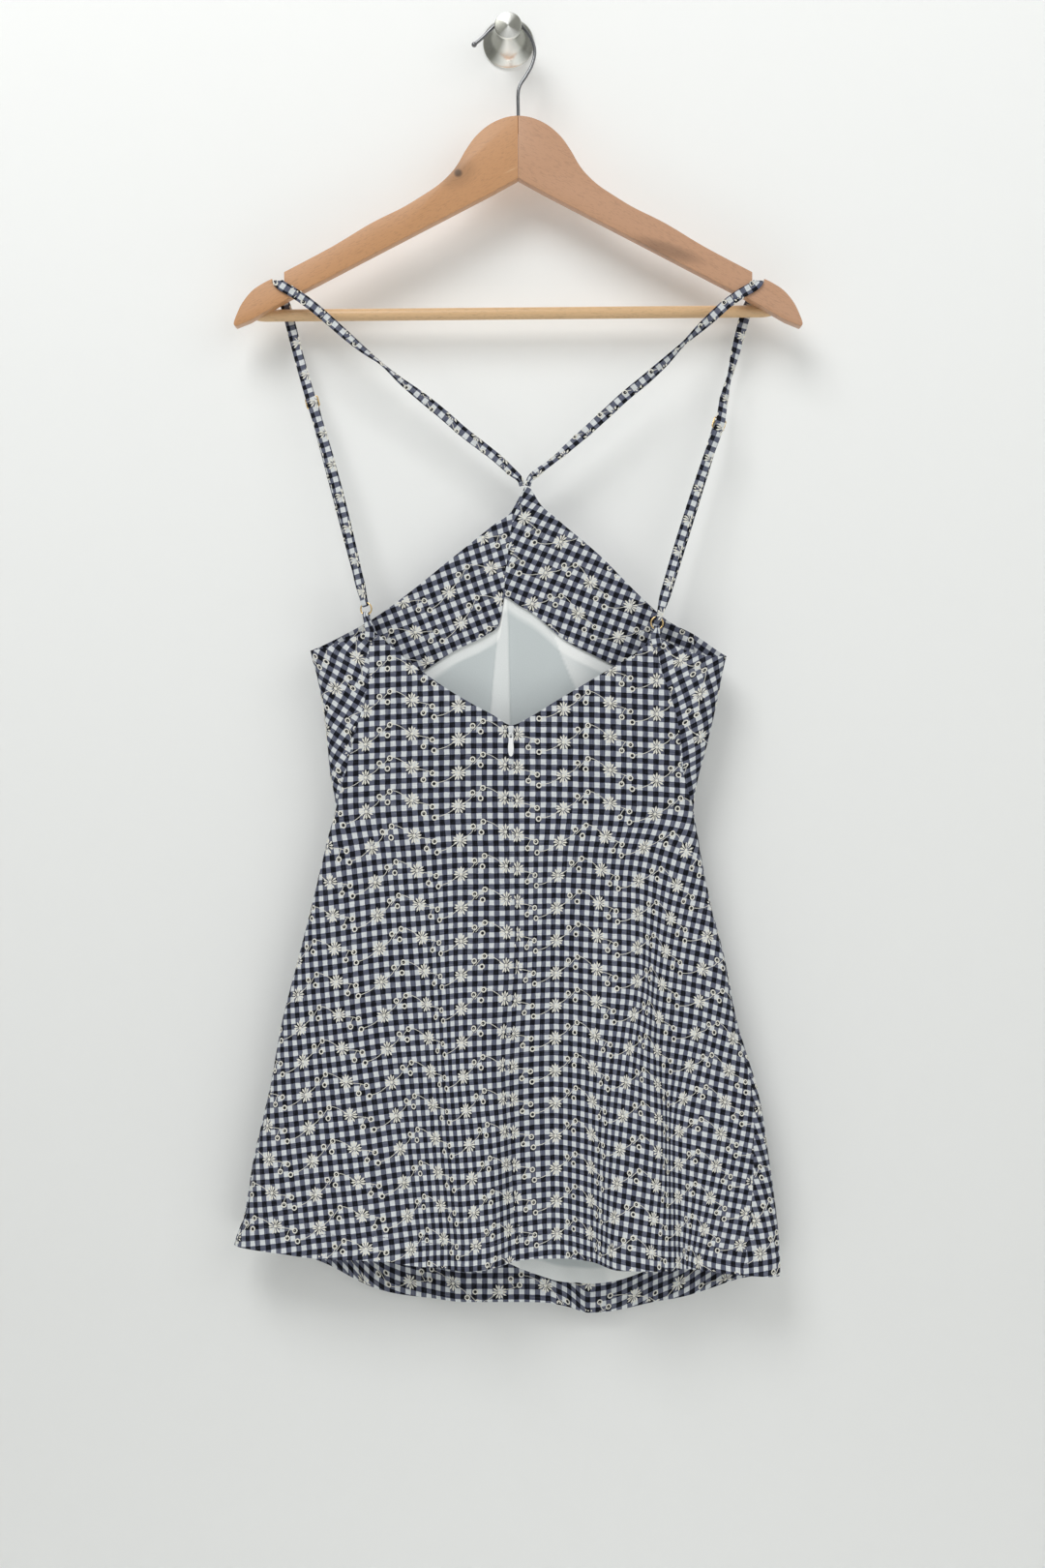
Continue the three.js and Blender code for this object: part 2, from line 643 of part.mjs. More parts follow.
// Straps. Each is one strip: from the point of the front's neck up the room side of the hanger,
// through the notch and down the wall side, through the slider to the ring, round the ring's
// wire and back up to the slider's middle bar. The rows give the single stretch.
const NOTCH_FLOOR_Z = -201.5;
const STRAP_ROWS = {
  left: [
    { x: 10.9, y: -31.3, z: -359.8, lean: 0, turn: 0, width: 4.2 },
    { x: 9.4, y: -31.4, z: -354.8, lean: 18, turn: 5, width: 5 },
    { x: 3.2, y: -31.6, z: -349.0, lean: 45, turn: 12, width: 7 },
    { x: -11.6, y: -32.5, z: -335.8, lean: 50, turn: 15, width: 8 },
    { x: -32.5, y: -33.7, z: -320.0, lean: 51, turn: 5, width: 8 },
    { x: -54.9, y: -35.0, z: -300.9, lean: 50, turn: 0, width: 8 },
    { x: -70.9, y: -36.0, z: -288.3, lean: 51, turn: 20, width: 8 },
    { x: -85.2, y: -36.8, z: -277.2, lean: 51, turn: 50, width: 8 },
    { x: -99.7, y: -37.7, z: -264.6, lean: 50, turn: 74, width: 8 },
    { x: -112.4, y: -38.5, z: -255.1, lean: 49, turn: 50, width: 8 },
    { x: -128.4, y: -39.7, z: -241.7, lean: 47, turn: 24, width: 8 },
    { x: -144.2, y: -41.0, z: -227.9, lean: 47, turn: 10, width: 8 },
    { x: -157.0, y: -42.1, z: -217.5, lean: 46, turn: 0, width: 8 },
    { x: -169.7, y: -42.5, z: -208.9, lean: 38, turn: 0, width: 8 },
    { x: -177.6, y: -42.5, z: -204.2, lean: 20, turn: 0, width: 8 },
    { x: -180.4, y: -42.1, z: -201.6, lean: 4, turn: 0, width: 8 },
    { x: -180.6, y: -40.9, z: -200.5, lean: 0, turn: 0, width: 8 },
    { x: -180.6, y: -35.0, z: -200.4, lean: 0, turn: 0, width: 8 },
    { x: -180.6, y: -29.1, z: -200.5, lean: 0, turn: 0, width: 8 },
    { x: -180.6, y: -27.9, z: -201.6, lean: 0, turn: 0, width: 8 },
    { x: -179.6, y: -26.2, z: -207.0, lean: 4, turn: 0, width: 8 },
    { x: -176.4, y: -19.0, z: -217.0, lean: 7, turn: 0, width: 8 },
    { x: -174.6, y: -17.9, z: -223.7, lean: 9, turn: 0, width: 8 },
    { x: -172.9, y: -18.2, z: -230.5, lean: 11, turn: 0, width: 8 },
    { x: -166.9, y: -20.0, z: -254.0, lean: 14, turn: 12, width: 8 },
    { x: -161.0, y: -22.0, z: -275.0, lean: 15, turn: 8, width: 8 },
  ],
  right: [
    { x: 15.5, y: -31.3, z: -359.8, lean: 0, turn: 0, width: 4.2 },
    { x: 17.0, y: -31.4, z: -354.8, lean: -18, turn: -5, width: 5 },
    { x: 21.6, y: -31.7, z: -350.2, lean: -42, turn: -30, width: 7 },
    { x: 34.6, y: -32.3, z: -340.6, lean: -49, turn: -52, width: 8 },
    { x: 47.5, y: -33.2, z: -329.5, lean: -49, turn: -30, width: 8 },
    { x: 60.3, y: -34.0, z: -318.5, lean: -49, turn: -16, width: 8 },
    { x: 76.3, y: -35.2, z: -304.2, lean: -48, turn: 0, width: 8 },
    { x: 92.3, y: -36.3, z: -289.6, lean: -48, turn: 4, width: 8 },
    { x: 108.3, y: -37.2, z: -276.6, lean: -49, turn: 14, width: 8 },
    { x: 124.2, y: -38.2, z: -262.4, lean: -48, turn: 44, width: 8 },
    { x: 138.2, y: -39.3, z: -248.6, lean: -46, turn: 76, width: 8 },
    { x: 148.1, y: -40.0, z: -239.4, lean: -45, turn: 52, width: 8 },
    { x: 160.8, y: -41.0, z: -228.0, lean: -44, turn: 16, width: 8 },
    { x: 172.0, y: -42.1, z: -218.0, lean: -42, turn: 0, width: 8 },
    { x: 184.7, y: -42.5, z: -209.3, lean: -36, turn: 0, width: 8 },
    { x: 193.3, y: -42.5, z: -204.3, lean: -20, turn: 0, width: 8 },
    { x: 196.2, y: -42.1, z: -201.6, lean: -4, turn: 0, width: 8 },
    { x: 196.4, y: -40.9, z: -200.5, lean: 0, turn: 0, width: 8 },
    { x: 196.4, y: -35.0, z: -200.4, lean: 0, turn: 0, width: 8 },
    { x: 196.4, y: -29.1, z: -200.5, lean: 0, turn: 0, width: 8 },
    { x: 196.4, y: -27.9, z: -201.6, lean: 0, turn: 0, width: 8 },
    { x: 195.2, y: -25.6, z: -206.5, lean: -5, turn: 0, width: 8 },
    { x: 191.2, y: -18.6, z: -214.4, lean: -8, turn: 0, width: 8 },
    { x: 189.0, y: -17.9, z: -220.5, lean: -12, turn: 0, width: 8 },
    { x: 187.0, y: -18.3, z: -227.5, lean: -13, turn: 0, width: 8 },
    { x: 180.8, y: -20.0, z: -251.0, lean: -16, turn: -24, width: 8 },
    { x: 175.4, y: -21.6, z: -272.0, lean: -15, turn: -62, width: 8 },
    { x: 170.9, y: -23.2, z: -290.0, lean: -14, turn: -30, width: 8 },
  ],
};
const SLIDERS = {
  left: { x: -154.9, y: -27, z: -293.1, turn: 10 },
  right: { x: 166.7, y: -28, z: -310.3, turn: -18 },
};
const RINGS = {
  left: { x: -111.2, y: -44.5, z: -457.9, turn: 24 },
  right: { x: 116.6, y: -44.5, z: -468.9, turn: 0 },
};
const SLIDER = { width: 11.2, height: 9.2, wire: 1.1, windowWidth: 9 };

// A ring's middle and the two directions of its plane
function ringFrame(side) {
  const { x, y, z, turn } = RINGS[side];
  const across = new THREE.Vector3(Math.cos(radians(turn)), -Math.sin(radians(turn)), 0);
  return { across, up: new THREE.Vector3(0, 0, 1), middle: new THREE.Vector3(x, y, z) };
}

// The straight run from slider to ring: where it starts and ends, and its three directions. It
// meets the ring's wire at the place nearest the slider.
function doubleRun(side) {
  const { x, y, z, turn } = SLIDERS[side];
  const ring = RINGS[side];
  const start = new THREE.Vector3(x, y, z);
  const { across: ringAcross, up: ringUp, middle } = ringFrame(side);
  const toSlider = start.clone().sub(middle);
  const [a, b] = [toSlider.dot(ringAcross), toSlider.dot(ringUp)];
  const reach = RING_RADIUS / Math.hypot(a, b);
  const end = middle.clone().addScaledVector(ringAcross, a * reach).addScaledVector(ringUp, b * reach);
  const run = end.clone().sub(start);
  const length = run.length();
  run.normalize();
  const frameAt = (t) => {
    const angle = radians(mix(turn, ring.turn, smooth(t)));
    const across = new THREE.Vector3(Math.cos(angle), -Math.sin(angle), 0);
    across.addScaledVector(run, -across.dot(run)).normalize();
    return { across, forward: new THREE.Vector3().crossVectors(across, run).normalize() };
  };
  return { start, run, length, frameAt };
}

// One layer of the double run, as stations from the slider to the ring. The under layer is on
// the wall side and shows a little to one side; stand gives how far it is off the line.
const DOUBLE_STEPS = 9;
function doubleLayer(side, layer) {
  const { start, run, length, frameAt } = doubleRun(side);
  const under = layer === 'under';
  const stations = [];
  for (let i = 0; i <= DOUBLE_STEPS; i += 1) {
    const t = i / DOUBLE_STEPS;
    const { across, forward } = frameAt(t);
    const atSlider = under ? -2.9 : 1.45;
    const between = under ? -0.8 : 0.8;
    const atRing = under ? -1.6 : 1.6;
    const stand = mix(mix(atSlider, between, smooth(t * 5)), atRing, smooth(t * 4 - 3));
    const aside = under ? 2.2 * Math.sin(Math.PI * t) * (side === 'left' ? 1 : -0.7) : 0;
    const centre = start.clone().addScaledVector(run, t * length)
      .addScaledVector(forward, stand).addScaledVector(across, aside);
    const width = mix(STRAP_WIDTH, STRAP_WIDTH_AT_RING, smooth(t * 9 - 8));
    stations.push({ centre, across, width, thickness: STRAP_THICKNESS });
  }
  return stations;
}

// A half turn from one side of a wire to the other, reach beyond it
function halfTurn({ middle, beyond, forward, across, radius, reach, width, thickness, fromFront }) {
  const stations = [];
  const steps = 6;
  for (let i = 1; i < steps; i += 1) {
    const angle = (Math.PI * i) / steps;
    const front = Math.cos(angle) * (fromFront ? 1 : -1);
    const centre = middle.clone().addScaledVector(forward, front * radius)
      .addScaledVector(beyond, Math.sin(angle) * reach);
    stations.push({ centre, across, width, thickness });
  }
  return stations;
}

function strap(side) {
  const rows = STRAP_ROWS[side];
  const places = rows.map((row) => new THREE.Vector3(row.x, row.y, row.z));
  const single = rows.map((row, i) => {
    const run = places[Math.min(i + 1, rows.length - 1)].clone().sub(places[Math.max(i - 1, 0)]);
    return {
      centre: places[i],
      across: widthWay(run, row.lean, row.turn),
      width: row.width,
      thickness: STRAP_THICKNESS,
    };
  });
  const { start, run, length, frameAt } = doubleRun(side);
  const under = doubleLayer(side, 'under');
  const over = doubleLayer(side, 'over').reverse();
  const lastFrame = frameAt(1);
  const roundRing = halfTurn({
    middle: start.clone().addScaledVector(run, length),
    beyond: run,
    forward: lastFrame.forward,
    across: lastFrame.across,
    radius: 1.6,
    reach: 2.3,
    width: STRAP_WIDTH_AT_RING,
    thickness: STRAP_THICKNESS,
    fromFront: false,
  });
  const topFrame = frameAt(0);
  const roundBar = halfTurn({
    middle: start,
    beyond: run.clone().negate(),
    forward: topFrame.forward,
    across: topFrame.across,
    radius: 1.45,
    reach: 1.5,
    width: STRAP_WIDTH,
    thickness: STRAP_THICKNESS,
    fromFront: true,
  });
  const tuckedEnd = {
    centre: start.clone().addScaledVector(topFrame.forward, -1.45).addScaledVector(run, 1.6),
    across: topFrame.across,
    width: STRAP_WIDTH,
    thickness: STRAP_THICKNESS,
  };
  return sweptStrip([...single, ...under, ...roundRing, ...over, ...roundBar, tuckedEnd]);
}

// A rounded rectangle centred on the origin, as a shape or as a hole
function roundedRectangle(Outline, width, height, corner, shiftY = 0) {
  const outline = new Outline();
  const [w, h] = [width / 2 - corner, height / 2 - corner];
  outline.absarc(w, h + shiftY, corner, 0, Math.PI / 2);
  outline.absarc(-w, h + shiftY, corner, Math.PI / 2, Math.PI);
  outline.absarc(-w, -h + shiftY, corner, Math.PI, 1.5 * Math.PI);
  outline.absarc(w, -h + shiftY, corner, 1.5 * Math.PI, 2 * Math.PI);
  return outline;
}

// Places a flat piece modelled in X and Y by the two directions of its plane
function placed(geometry, across, up, centre) {
  const facing = new THREE.Vector3().crossVectors(across, up);
  geometry.applyMatrix4(new THREE.Matrix4().makeBasis(across, up, facing).setPosition(centre));
  return geometry;
}

// A slider is a flat metal frame with a middle bar and two windows
function slider(side) {
  const { start, run, frameAt } = doubleRun(side);
  const { across } = frameAt(0);
  const { width, height, wire, windowWidth } = SLIDER;
  const shape = roundedRectangle(THREE.Shape, width, height, 1.2);
  const windowHeight = (height - 3 * wire) / 2;
  for (const sign of [-1, 1]) {
    const shift = (sign * (windowHeight + wire)) / 2;
    shape.holes.push(roundedRectangle(THREE.Path, windowWidth, windowHeight, 0.5, shift));
  }
  const frame = new THREE.ExtrudeGeometry(shape, { depth: wire, bevelEnabled: false, curveSegments: 3 });
  frame.translate(0, 0, -wire / 2);
  return placed(frame, across, run.clone().negate(), start);
}

function ring(side) {
  const { across, up, middle } = ringFrame(side);
  return placed(new THREE.TorusGeometry(RING_RADIUS, RING_WIRE, 6, 22), across, up, middle);
}

// A short strip folded over the ring's lower wire and sewn to both faces of the back's top
// corner, where the back panel meets the front bodice
const TAB = { width: 7.4, thickness: 1, leg: 8 };
function ringTab(side) {
  const along = (z) => (side === 'left' ? seam.left(z) : seam.right(z));
  const { across: atRing, up, middle } = ringFrame(side);
  const wire = middle.clone().addScaledVector(up, -RING_RADIUS);
  const forward = new THREE.Vector3().crossVectors(up, atRing).negate();
  const edgeZ = side === 'left' ? -474.6 : -479.6;
  const legStations = (sign) => {
    const offset = sign * (CLOTH / 2 + GAP + TAB.thickness / 2);
    const onCloth = [edgeZ - TAB.leg, edgeZ - TAB.leg / 2, edgeZ].map((height) => {
      const { here, outward } = clothAt(along(height), height);
      const across = new THREE.Vector3(-outward.y, outward.x, 0).normalize();
      return { centre: here.addScaledVector(outward, offset), across, width: TAB.width };
    });
    const top = onCloth[2];
    const wireSide = wire.clone().addScaledVector(forward, sign * 1.6);
    const between = [0.5, 1].map((t) => ({
      centre: top.centre.clone().lerp(wireSide, t),
      across: top.across.clone().lerp(atRing, t),
      width: mix(TAB.width, STRAP_WIDTH_AT_RING, t),
    }));
    return [...onCloth, ...between];
  };
  const overWire = halfTurn({
    middle: wire,
    beyond: up,
    forward,
    across: atRing,
    radius: 1.6,
    reach: 2.2,
    width: STRAP_WIDTH_AT_RING,
    fromFront: true,
  });
  const stations = [...legStations(1), ...overWire, ...legStations(-1).reverse()];
  return sweptStrip(stations.map((station) => ({ ...station, thickness: TAB.thickness })));
}

// Solids for joining and cutting
function toSolid(geometry) {
  const bare = geometry.clone();
  bare.deleteAttribute('normal');
  bare.deleteAttribute('uv');
  const merged = mergeVertices(bare, 1e-3);
  return new wasm.Manifold(new wasm.Mesh({
    numProp: 3,
    vertProperties: new Float32Array(merged.attributes.position.array),
    triVerts: new Uint32Array(merged.index.array),
  }));
}
function toGeometry(solid) {
  const mesh = solid.getMesh();
  const geometry = new THREE.BufferGeometry();
  geometry.setAttribute('position', new THREE.BufferAttribute(new Float32Array(mesh.vertProperties), 3));
  geometry.setIndex([...mesh.triVerts]);
  geometry.computeVertexNormals();
  return geometry;
}

// The zip's slider sits at the foot of the neckline on the centre back seam. Its arch holds the
// pull tab's eye, and the tab swings about the eye's bar.
const ZIP = {
  topZ: -549.5,
  bodyWidth: 4.8,
  bodyHeight: 8.4,
  bodyDepth: 1.8,
  pivotZ: -555.6,
  archWidth: 1.2,
  archWall: 0.8,
  pullLength: 18.4,
  pullHalfWidth: 2.15,
  pullThickness: 1,
};
const PULL_PLAY = 0.3;
const zipSeat = () => {
  const middleZ = ZIP.topZ - ZIP.bodyHeight / 2;
  const x = track(CENTRE_SEAMS, 'z', 'back', middleZ);
  const depths = [0, 0.5, 1].map((t) => onSection(ZIP.topZ - t * ZIP.bodyHeight, seam.back(ZIP.topZ)).y);
  const face = Math.min(...depths) - CLOTH / 2 - GAP;
  return { x, face, front: face - ZIP.bodyDepth, middleZ };
};
function zipPivot() {
  const { x, front } = zipSeat();
  return new THREE.Vector3(x, front - PULL_PLAY - ZIP.pullThickness / 2, ZIP.pivotZ);
}

function zipSlider() {
  const { x, front, middleZ } = zipSeat();
  const body = new THREE.Shape();
  const [w, h] = [ZIP.bodyWidth / 2, ZIP.bodyHeight / 2];
  body.moveTo(-w * 0.55, -h);
  body.lineTo(w * 0.55, -h);
  body.lineTo(w * 0.75, 0);
  body.lineTo(w, h * 0.8);
  body.lineTo(w * 0.7, h);
  body.lineTo(-w * 0.7, h);
  body.lineTo(-w, h * 0.8);
  body.lineTo(-w * 0.75, 0);
  const plate = new THREE.ExtrudeGeometry(body, { depth: ZIP.bodyDepth, bevelEnabled: false });
  plate.rotateX(Math.PI / 2);
  plate.translate(x, front + ZIP.bodyDepth, middleZ);
  const hole = ZIP.pullThickness / 2 + PULL_PLAY;
  const outer = hole + ZIP.archWall;
  const arch = new THREE.Shape();
  arch.absarc(0, 0, outer, 0, 2 * Math.PI);
  arch.holes.push(new THREE.Path().absarc(0, 0, hole, 0, 2 * Math.PI));
  const loop = new THREE.ExtrudeGeometry(arch, {
    depth: ZIP.archWidth,
    bevelEnabled: false,
    curveSegments: 14,
  });
  loop.rotateY(Math.PI / 2);
  const pivot = zipPivot();
  loop.translate(pivot.x - ZIP.archWidth / 2, pivot.y, pivot.z);
  return toGeometry(toSolid(plate).add(toSolid(loop)));
}

function zipPull() {
  const { pullLength, pullHalfWidth, pullThickness } = ZIP;
  const bar = pullThickness / 2;
  const eyeHalf = 1.05;
  const eyeFoot = 3.4;
  const tab = new THREE.Shape();
  tab.moveTo(-1.5, bar);
  tab.bezierCurveTo(-2.2, bar, -1.7, -4.5, -1.75, -5.5);
  tab.bezierCurveTo(-1.9, -8, -pullHalfWidth - 0.15, -9.5, -pullHalfWidth, -12);
  tab.bezierCurveTo(-pullHalfWidth, -15, -1.6, bar - pullLength, 0, bar - pullLength);
  tab.bezierCurveTo(1.6, bar - pullLength, pullHalfWidth, -15, pullHalfWidth, -12);
  tab.bezierCurveTo(pullHalfWidth + 0.15, -9.5, 1.9, -8, 1.75, -5.5);
  tab.bezierCurveTo(1.7, -4.5, 2.2, bar, 1.5, bar);
  const eye = new THREE.Path();
  eye.moveTo(-eyeHalf, -bar);
  eye.lineTo(-eyeHalf, -eyeFoot + 0.5);
  eye.quadraticCurveTo(-eyeHalf, -eyeFoot, 0, -eyeFoot);
  eye.quadraticCurveTo(eyeHalf, -eyeFoot, eyeHalf, -eyeFoot + 0.5);
  eye.lineTo(eyeHalf, -bar);
  tab.holes.push(eye);
  const bevel = 0.28;
  const geometry = new THREE.ExtrudeGeometry(tab, {
    depth: pullThickness - 2 * bevel,
    bevelThickness: bevel,
    bevelSize: bevel,
    bevelOffset: -bevel,
    bevelSegments: 1,
    curveSegments: 5,
  });
  geometry.translate(0, 0, -pullThickness / 2 + bevel);
  geometry.rotateX(Math.PI / 2);
  const pivot = zipPivot();
  geometry.translate(pivot.x, pivot.y, pivot.z);
  return geometry;
}

// Hanger arms, by distance from the hanger's middle. The notch for the strap lies between the
// shoulder and the tip.
const ARM_SHOULDER = [
  { out: 0.15, z: -70.3 },
  { out: 10.3, z: -71.8 },
  { out: 22.7, z: -77.4 },
  { out: 33.5, z: -86.7 },
  { out: 41.3, z: -97.6 },
  { out: 47.5, z: -108.4 },
  { out: 53.6, z: -116.2 },
  { out: 62.9, z: -124.8 },
  { out: 75.4, z: -133.2 },
  { out: 90.8, z: -142.5 },
  { out: 115.6, z: -154.9 },
  { out: 146.7, z: -173.5 },
  { out: 183.8, z: -193.2 },
];
const ARM_TIP = [
  { out: 193.2, z: -198.4 },
  { out: 199.4, z: -201.4 },
  { out: 208.7, z: -207.6 },
  { out: 216.4, z: -216.9 },
  { out: 221.0, z: -226.2 },
  { out: 223.4, z: -233.4 },
  { out: 221.8, z: -235.6 },
];
const ARM_UNDERSIDE = [
  { out: 210.2, z: -230.9 },
  { out: 177.7, z: -212.3 },
  { out: 100.1, z: -171.9 },
  { out: 22.7, z: -131.7 },
  { out: 0.15, z: -119.3 },
];
const HOOK_SOCKET_DEPTH = 14;

function hangerArm(side) {
  const sign = side === 'left' ? -1 : 1;
  const at = (row) => new THREE.Vector2(sign * row.out, row.z);
  const shoulder = new THREE.SplineCurve(ARM_SHOULDER.map(at)).getPoints(20);
  const tip = new THREE.SplineCurve(ARM_TIP.map(at)).getPoints(9);
  const floor = [ARM_SHOULDER.at(-1), ARM_TIP[0]].map((row) => at({ out: row.out, z: NOTCH_FLOOR_Z }));
  const outline = [...shoulder, ...floor, ...tip, ...ARM_UNDERSIDE.map(at)];
  const rounding = 1.3;
  const arm = new THREE.ExtrudeGeometry(new THREE.Shape(outline), {
    depth: HANGER_THICKNESS - 2 * rounding,
    bevelThickness: rounding,
    bevelSize: rounding,
    bevelOffset: -rounding,
    bevelSegments: 1,
  });
  arm.translate(0, 0, -HANGER_THICKNESS / 2 + rounding);
  arm.rotateX(Math.PI / 2);
  arm.translate(HANGER_CENTRE_X, MIDDLE_Y, 0);
  const socket = new THREE.CylinderGeometry(HOOK_WIRE + GAP, HOOK_WIRE + GAP, 2 * HOOK_SOCKET_DEPTH, 16);
  socket.rotateX(Math.PI / 2);
  socket.translate(HANGER_CENTRE_X, MIDDLE_Y, ARM_SHOULDER[0].z);
  return toGeometry(toSolid(arm).subtract(toSolid(socket)));
}

// The trouser bar lies against the wall side of both arms
const BAR_ENDS = { leftX: -203, leftZ: -223.9, rightX: 211.5, rightZ: -220.3 };
function hangerBar() {
  const start = new THREE.Vector3(BAR_ENDS.leftX, 0, BAR_ENDS.leftZ);
  const end = new THREE.Vector3(BAR_ENDS.rightX, 0, BAR_ENDS.rightZ);
  const length = start.distanceTo(end);
  const r = BAR_RADIUS;
  const profile = [[0, 0], [0.55 * r, 0.25 * r], [0.82 * r, 0.8 * r], [r, 2.2 * r],
    [r, length - 2.2 * r], [0.82 * r, length - 0.8 * r], [0.55 * r, length - 0.25 * r], [0, length]];
  const bar = new THREE.LatheGeometry(profile.map(([a, b]) => new THREE.Vector2(a, b)), 16);
  const turn = new THREE.Quaternion().setFromUnitVectors(
    new THREE.Vector3(0, 1, 0),
    end.clone().sub(start).normalize(),
  );
  bar.applyQuaternion(turn);
  const y = MIDDLE_Y + HANGER_THICKNESS / 2 + GAP + r;
  bar.translate(start.x, y, start.z);
  return bar;
}

// The hook's wire rises from the hanger, bends out and passes over the knob's neck
const HOOK_TOP_Z = KNOB_NECK + GAP + HOOK_WIRE;
const HOOK_ROWS = [
  { x: HANGER_CENTRE_X, z: -83 },
  { x: HANGER_CENTRE_X, z: -66 },
  { x: 7.8, z: -52 },
  { x: 9.4, z: -44.8 },
  { x: 14, z: -37.5 },
  { x: 18.6, z: -29 },
  { x: 20.9, z: -19 },
  { x: 18.8, z: -9.5 },
  { x: 13, z: -1 },
  { x: 6.2, z: 5.2 },
  { x: 0, z: HOOK_TOP_Z },
  { x: -6.5, z: 5.5 },
  { x: -13.5, z: -0.6 },
  { x: -20.5, z: -7.5 },
  { x: -26.8, z: -12.8 },
];
function hookWire() {
  const path = new THREE.CatmullRomCurve3(
    HOOK_ROWS.map((row) => new THREE.Vector3(row.x, MIDDLE_Y, row.z)),
    false,
    'centripetal',
  );
  const section = new THREE.Shape(
    Array.from({ length: 10 }, (_, i) => new THREE.Vector2(
      HOOK_WIRE * Math.cos((2 * Math.PI * i) / 10),
      HOOK_WIRE * Math.sin((2 * Math.PI * i) / 10),
    )),
  );
  const wire = new THREE.ExtrudeGeometry(section, { steps: 38, extrudePath: path, bevelEnabled: false });
  const tip = new THREE.SphereGeometry(2.1, 10, 8);
  const end = HOOK_ROWS.at(-1);
  tip.translate(end.x, MIDDLE_Y, end.z);
  return toGeometry(toSolid(wire).add(toSolid(tip)));
}

// The wall knob: a round plate, a stem that flares from it like a trumpet, and a flat head
const KNOB_ROWS = [
  { radius: 0, out: 0 },
  { radius: 20.4, out: 0 },
  { radius: 20.4, out: 1.4 },
  { radius: 19.2, out: 2.6 },
  { radius: 15.6, out: 4.2 },
  { radius: 12.2, out: 7.4 },
  { radius: 9.4, out: 12 },
  { radius: 7.2, out: 18.5 },
  { radius: 5.9, out: 26 },
  { radius: KNOB_NECK, out: 31.5 },
  { radius: KNOB_NECK, out: 37.2 },
  { radius: 6.6, out: 38.4 },
  { radius: 10.3, out: 38.9 },
  { radius: 10.7, out: 39.4 },
  { radius: 10.7, out: 42.1 },
  { radius: 10.1, out: 42.7 },
  { radius: 0, out: 42.7 },
];
function wallKnob() {
  const knob = new THREE.LatheGeometry(KNOB_ROWS.map((row) => new THREE.Vector2(row.radius, row.out)), 28);
  knob.rotateX(Math.PI);
  return knob;
}

add('back_left', backPanel('left'), gingham());
add('back_right', backPanel('right'), gingham());
add('front_bodice_left', frontBodice('left'), gingham());
add('front_bodice_right', frontBodice('right'), gingham());
add('front_skirt', frontSkirt(), gingham());
add('neck_facing_left', neckFacing('left'), gingham());
add('neck_facing_right', neckFacing('right'), gingham());
add('front_lining', frontLining(), voile());
add('front_hem_facing', frontHemFacing(), gingham());
for (const side of ['left', 'right']) {
  add(`strap_${side}`, strap(side), gingham());
  add(`strap_slider_${side}`, slider(side), gilt());
  add(`strap_ring_${side}`, ring(side), gilt());
  add(`ring_tab_${side}`, ringTab(side), gingham());
  add(`hanger_arm_${side}`, hangerArm(side), beech());
}
add('zip_slider', zipSlider(), whiteEnamel());
add('zip_pull', zipPull(), whiteEnamel());
add('hanger_bar', hangerBar(), beech());
add('hanger_hook', hookWire(), steel());
add('wall_knob', wallKnob(), knobSteel());

export default dress;
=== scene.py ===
# A sundress in embroidered check cotton, hung with its back to the room by crossed straps on a
# wooden hanger, whose hook hangs on a wall knob. Sizes below are millimetres, as a maker reads
# them, and MM turns them into Blender's metres where a mesh is made.
import math

import bpy
import numpy as np
from mathutils import Matrix, Vector


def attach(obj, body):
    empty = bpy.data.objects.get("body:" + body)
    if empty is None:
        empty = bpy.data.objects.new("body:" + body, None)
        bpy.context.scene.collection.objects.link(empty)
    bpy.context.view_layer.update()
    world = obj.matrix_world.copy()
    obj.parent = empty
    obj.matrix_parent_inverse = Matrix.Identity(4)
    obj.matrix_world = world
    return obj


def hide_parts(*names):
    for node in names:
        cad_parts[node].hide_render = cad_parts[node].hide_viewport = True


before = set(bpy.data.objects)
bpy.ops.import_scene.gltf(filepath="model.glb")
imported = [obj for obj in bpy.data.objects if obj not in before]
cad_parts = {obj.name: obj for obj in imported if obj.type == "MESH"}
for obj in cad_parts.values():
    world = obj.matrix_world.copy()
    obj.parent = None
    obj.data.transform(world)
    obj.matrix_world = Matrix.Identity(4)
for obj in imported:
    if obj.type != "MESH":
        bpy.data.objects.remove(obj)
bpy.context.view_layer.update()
MM = 0.001

# Driving sizes
MIDDLE_Y = -35.0  # the upright plane of the hanger and of the hanging dress
WAIST_Z = -615.5
HEM_Z = -965.0
HEM_TURNING = 30.0
CLOTH_WALL = 1.2  # the space each layer of cloth has in the frame
VOILE_WALL = 1.0
AIR = 0.3
COTTON = 0.5  # the cloth itself
VOILE = 0.3
CELL = 2.6  # the size of a panel's faces
STRAP_WIDTH = 8.0
STRAP_WIDTH_AT_RING = 4.6
STRAP_THICKNESS = 1.2
RING_RADIUS = 4.7
CHECK = 8.4  # the check's repeat


def table(columns, rows):
    """A table with named columns"""
    return dict(zip(columns.split(), np.array(rows, float).T))


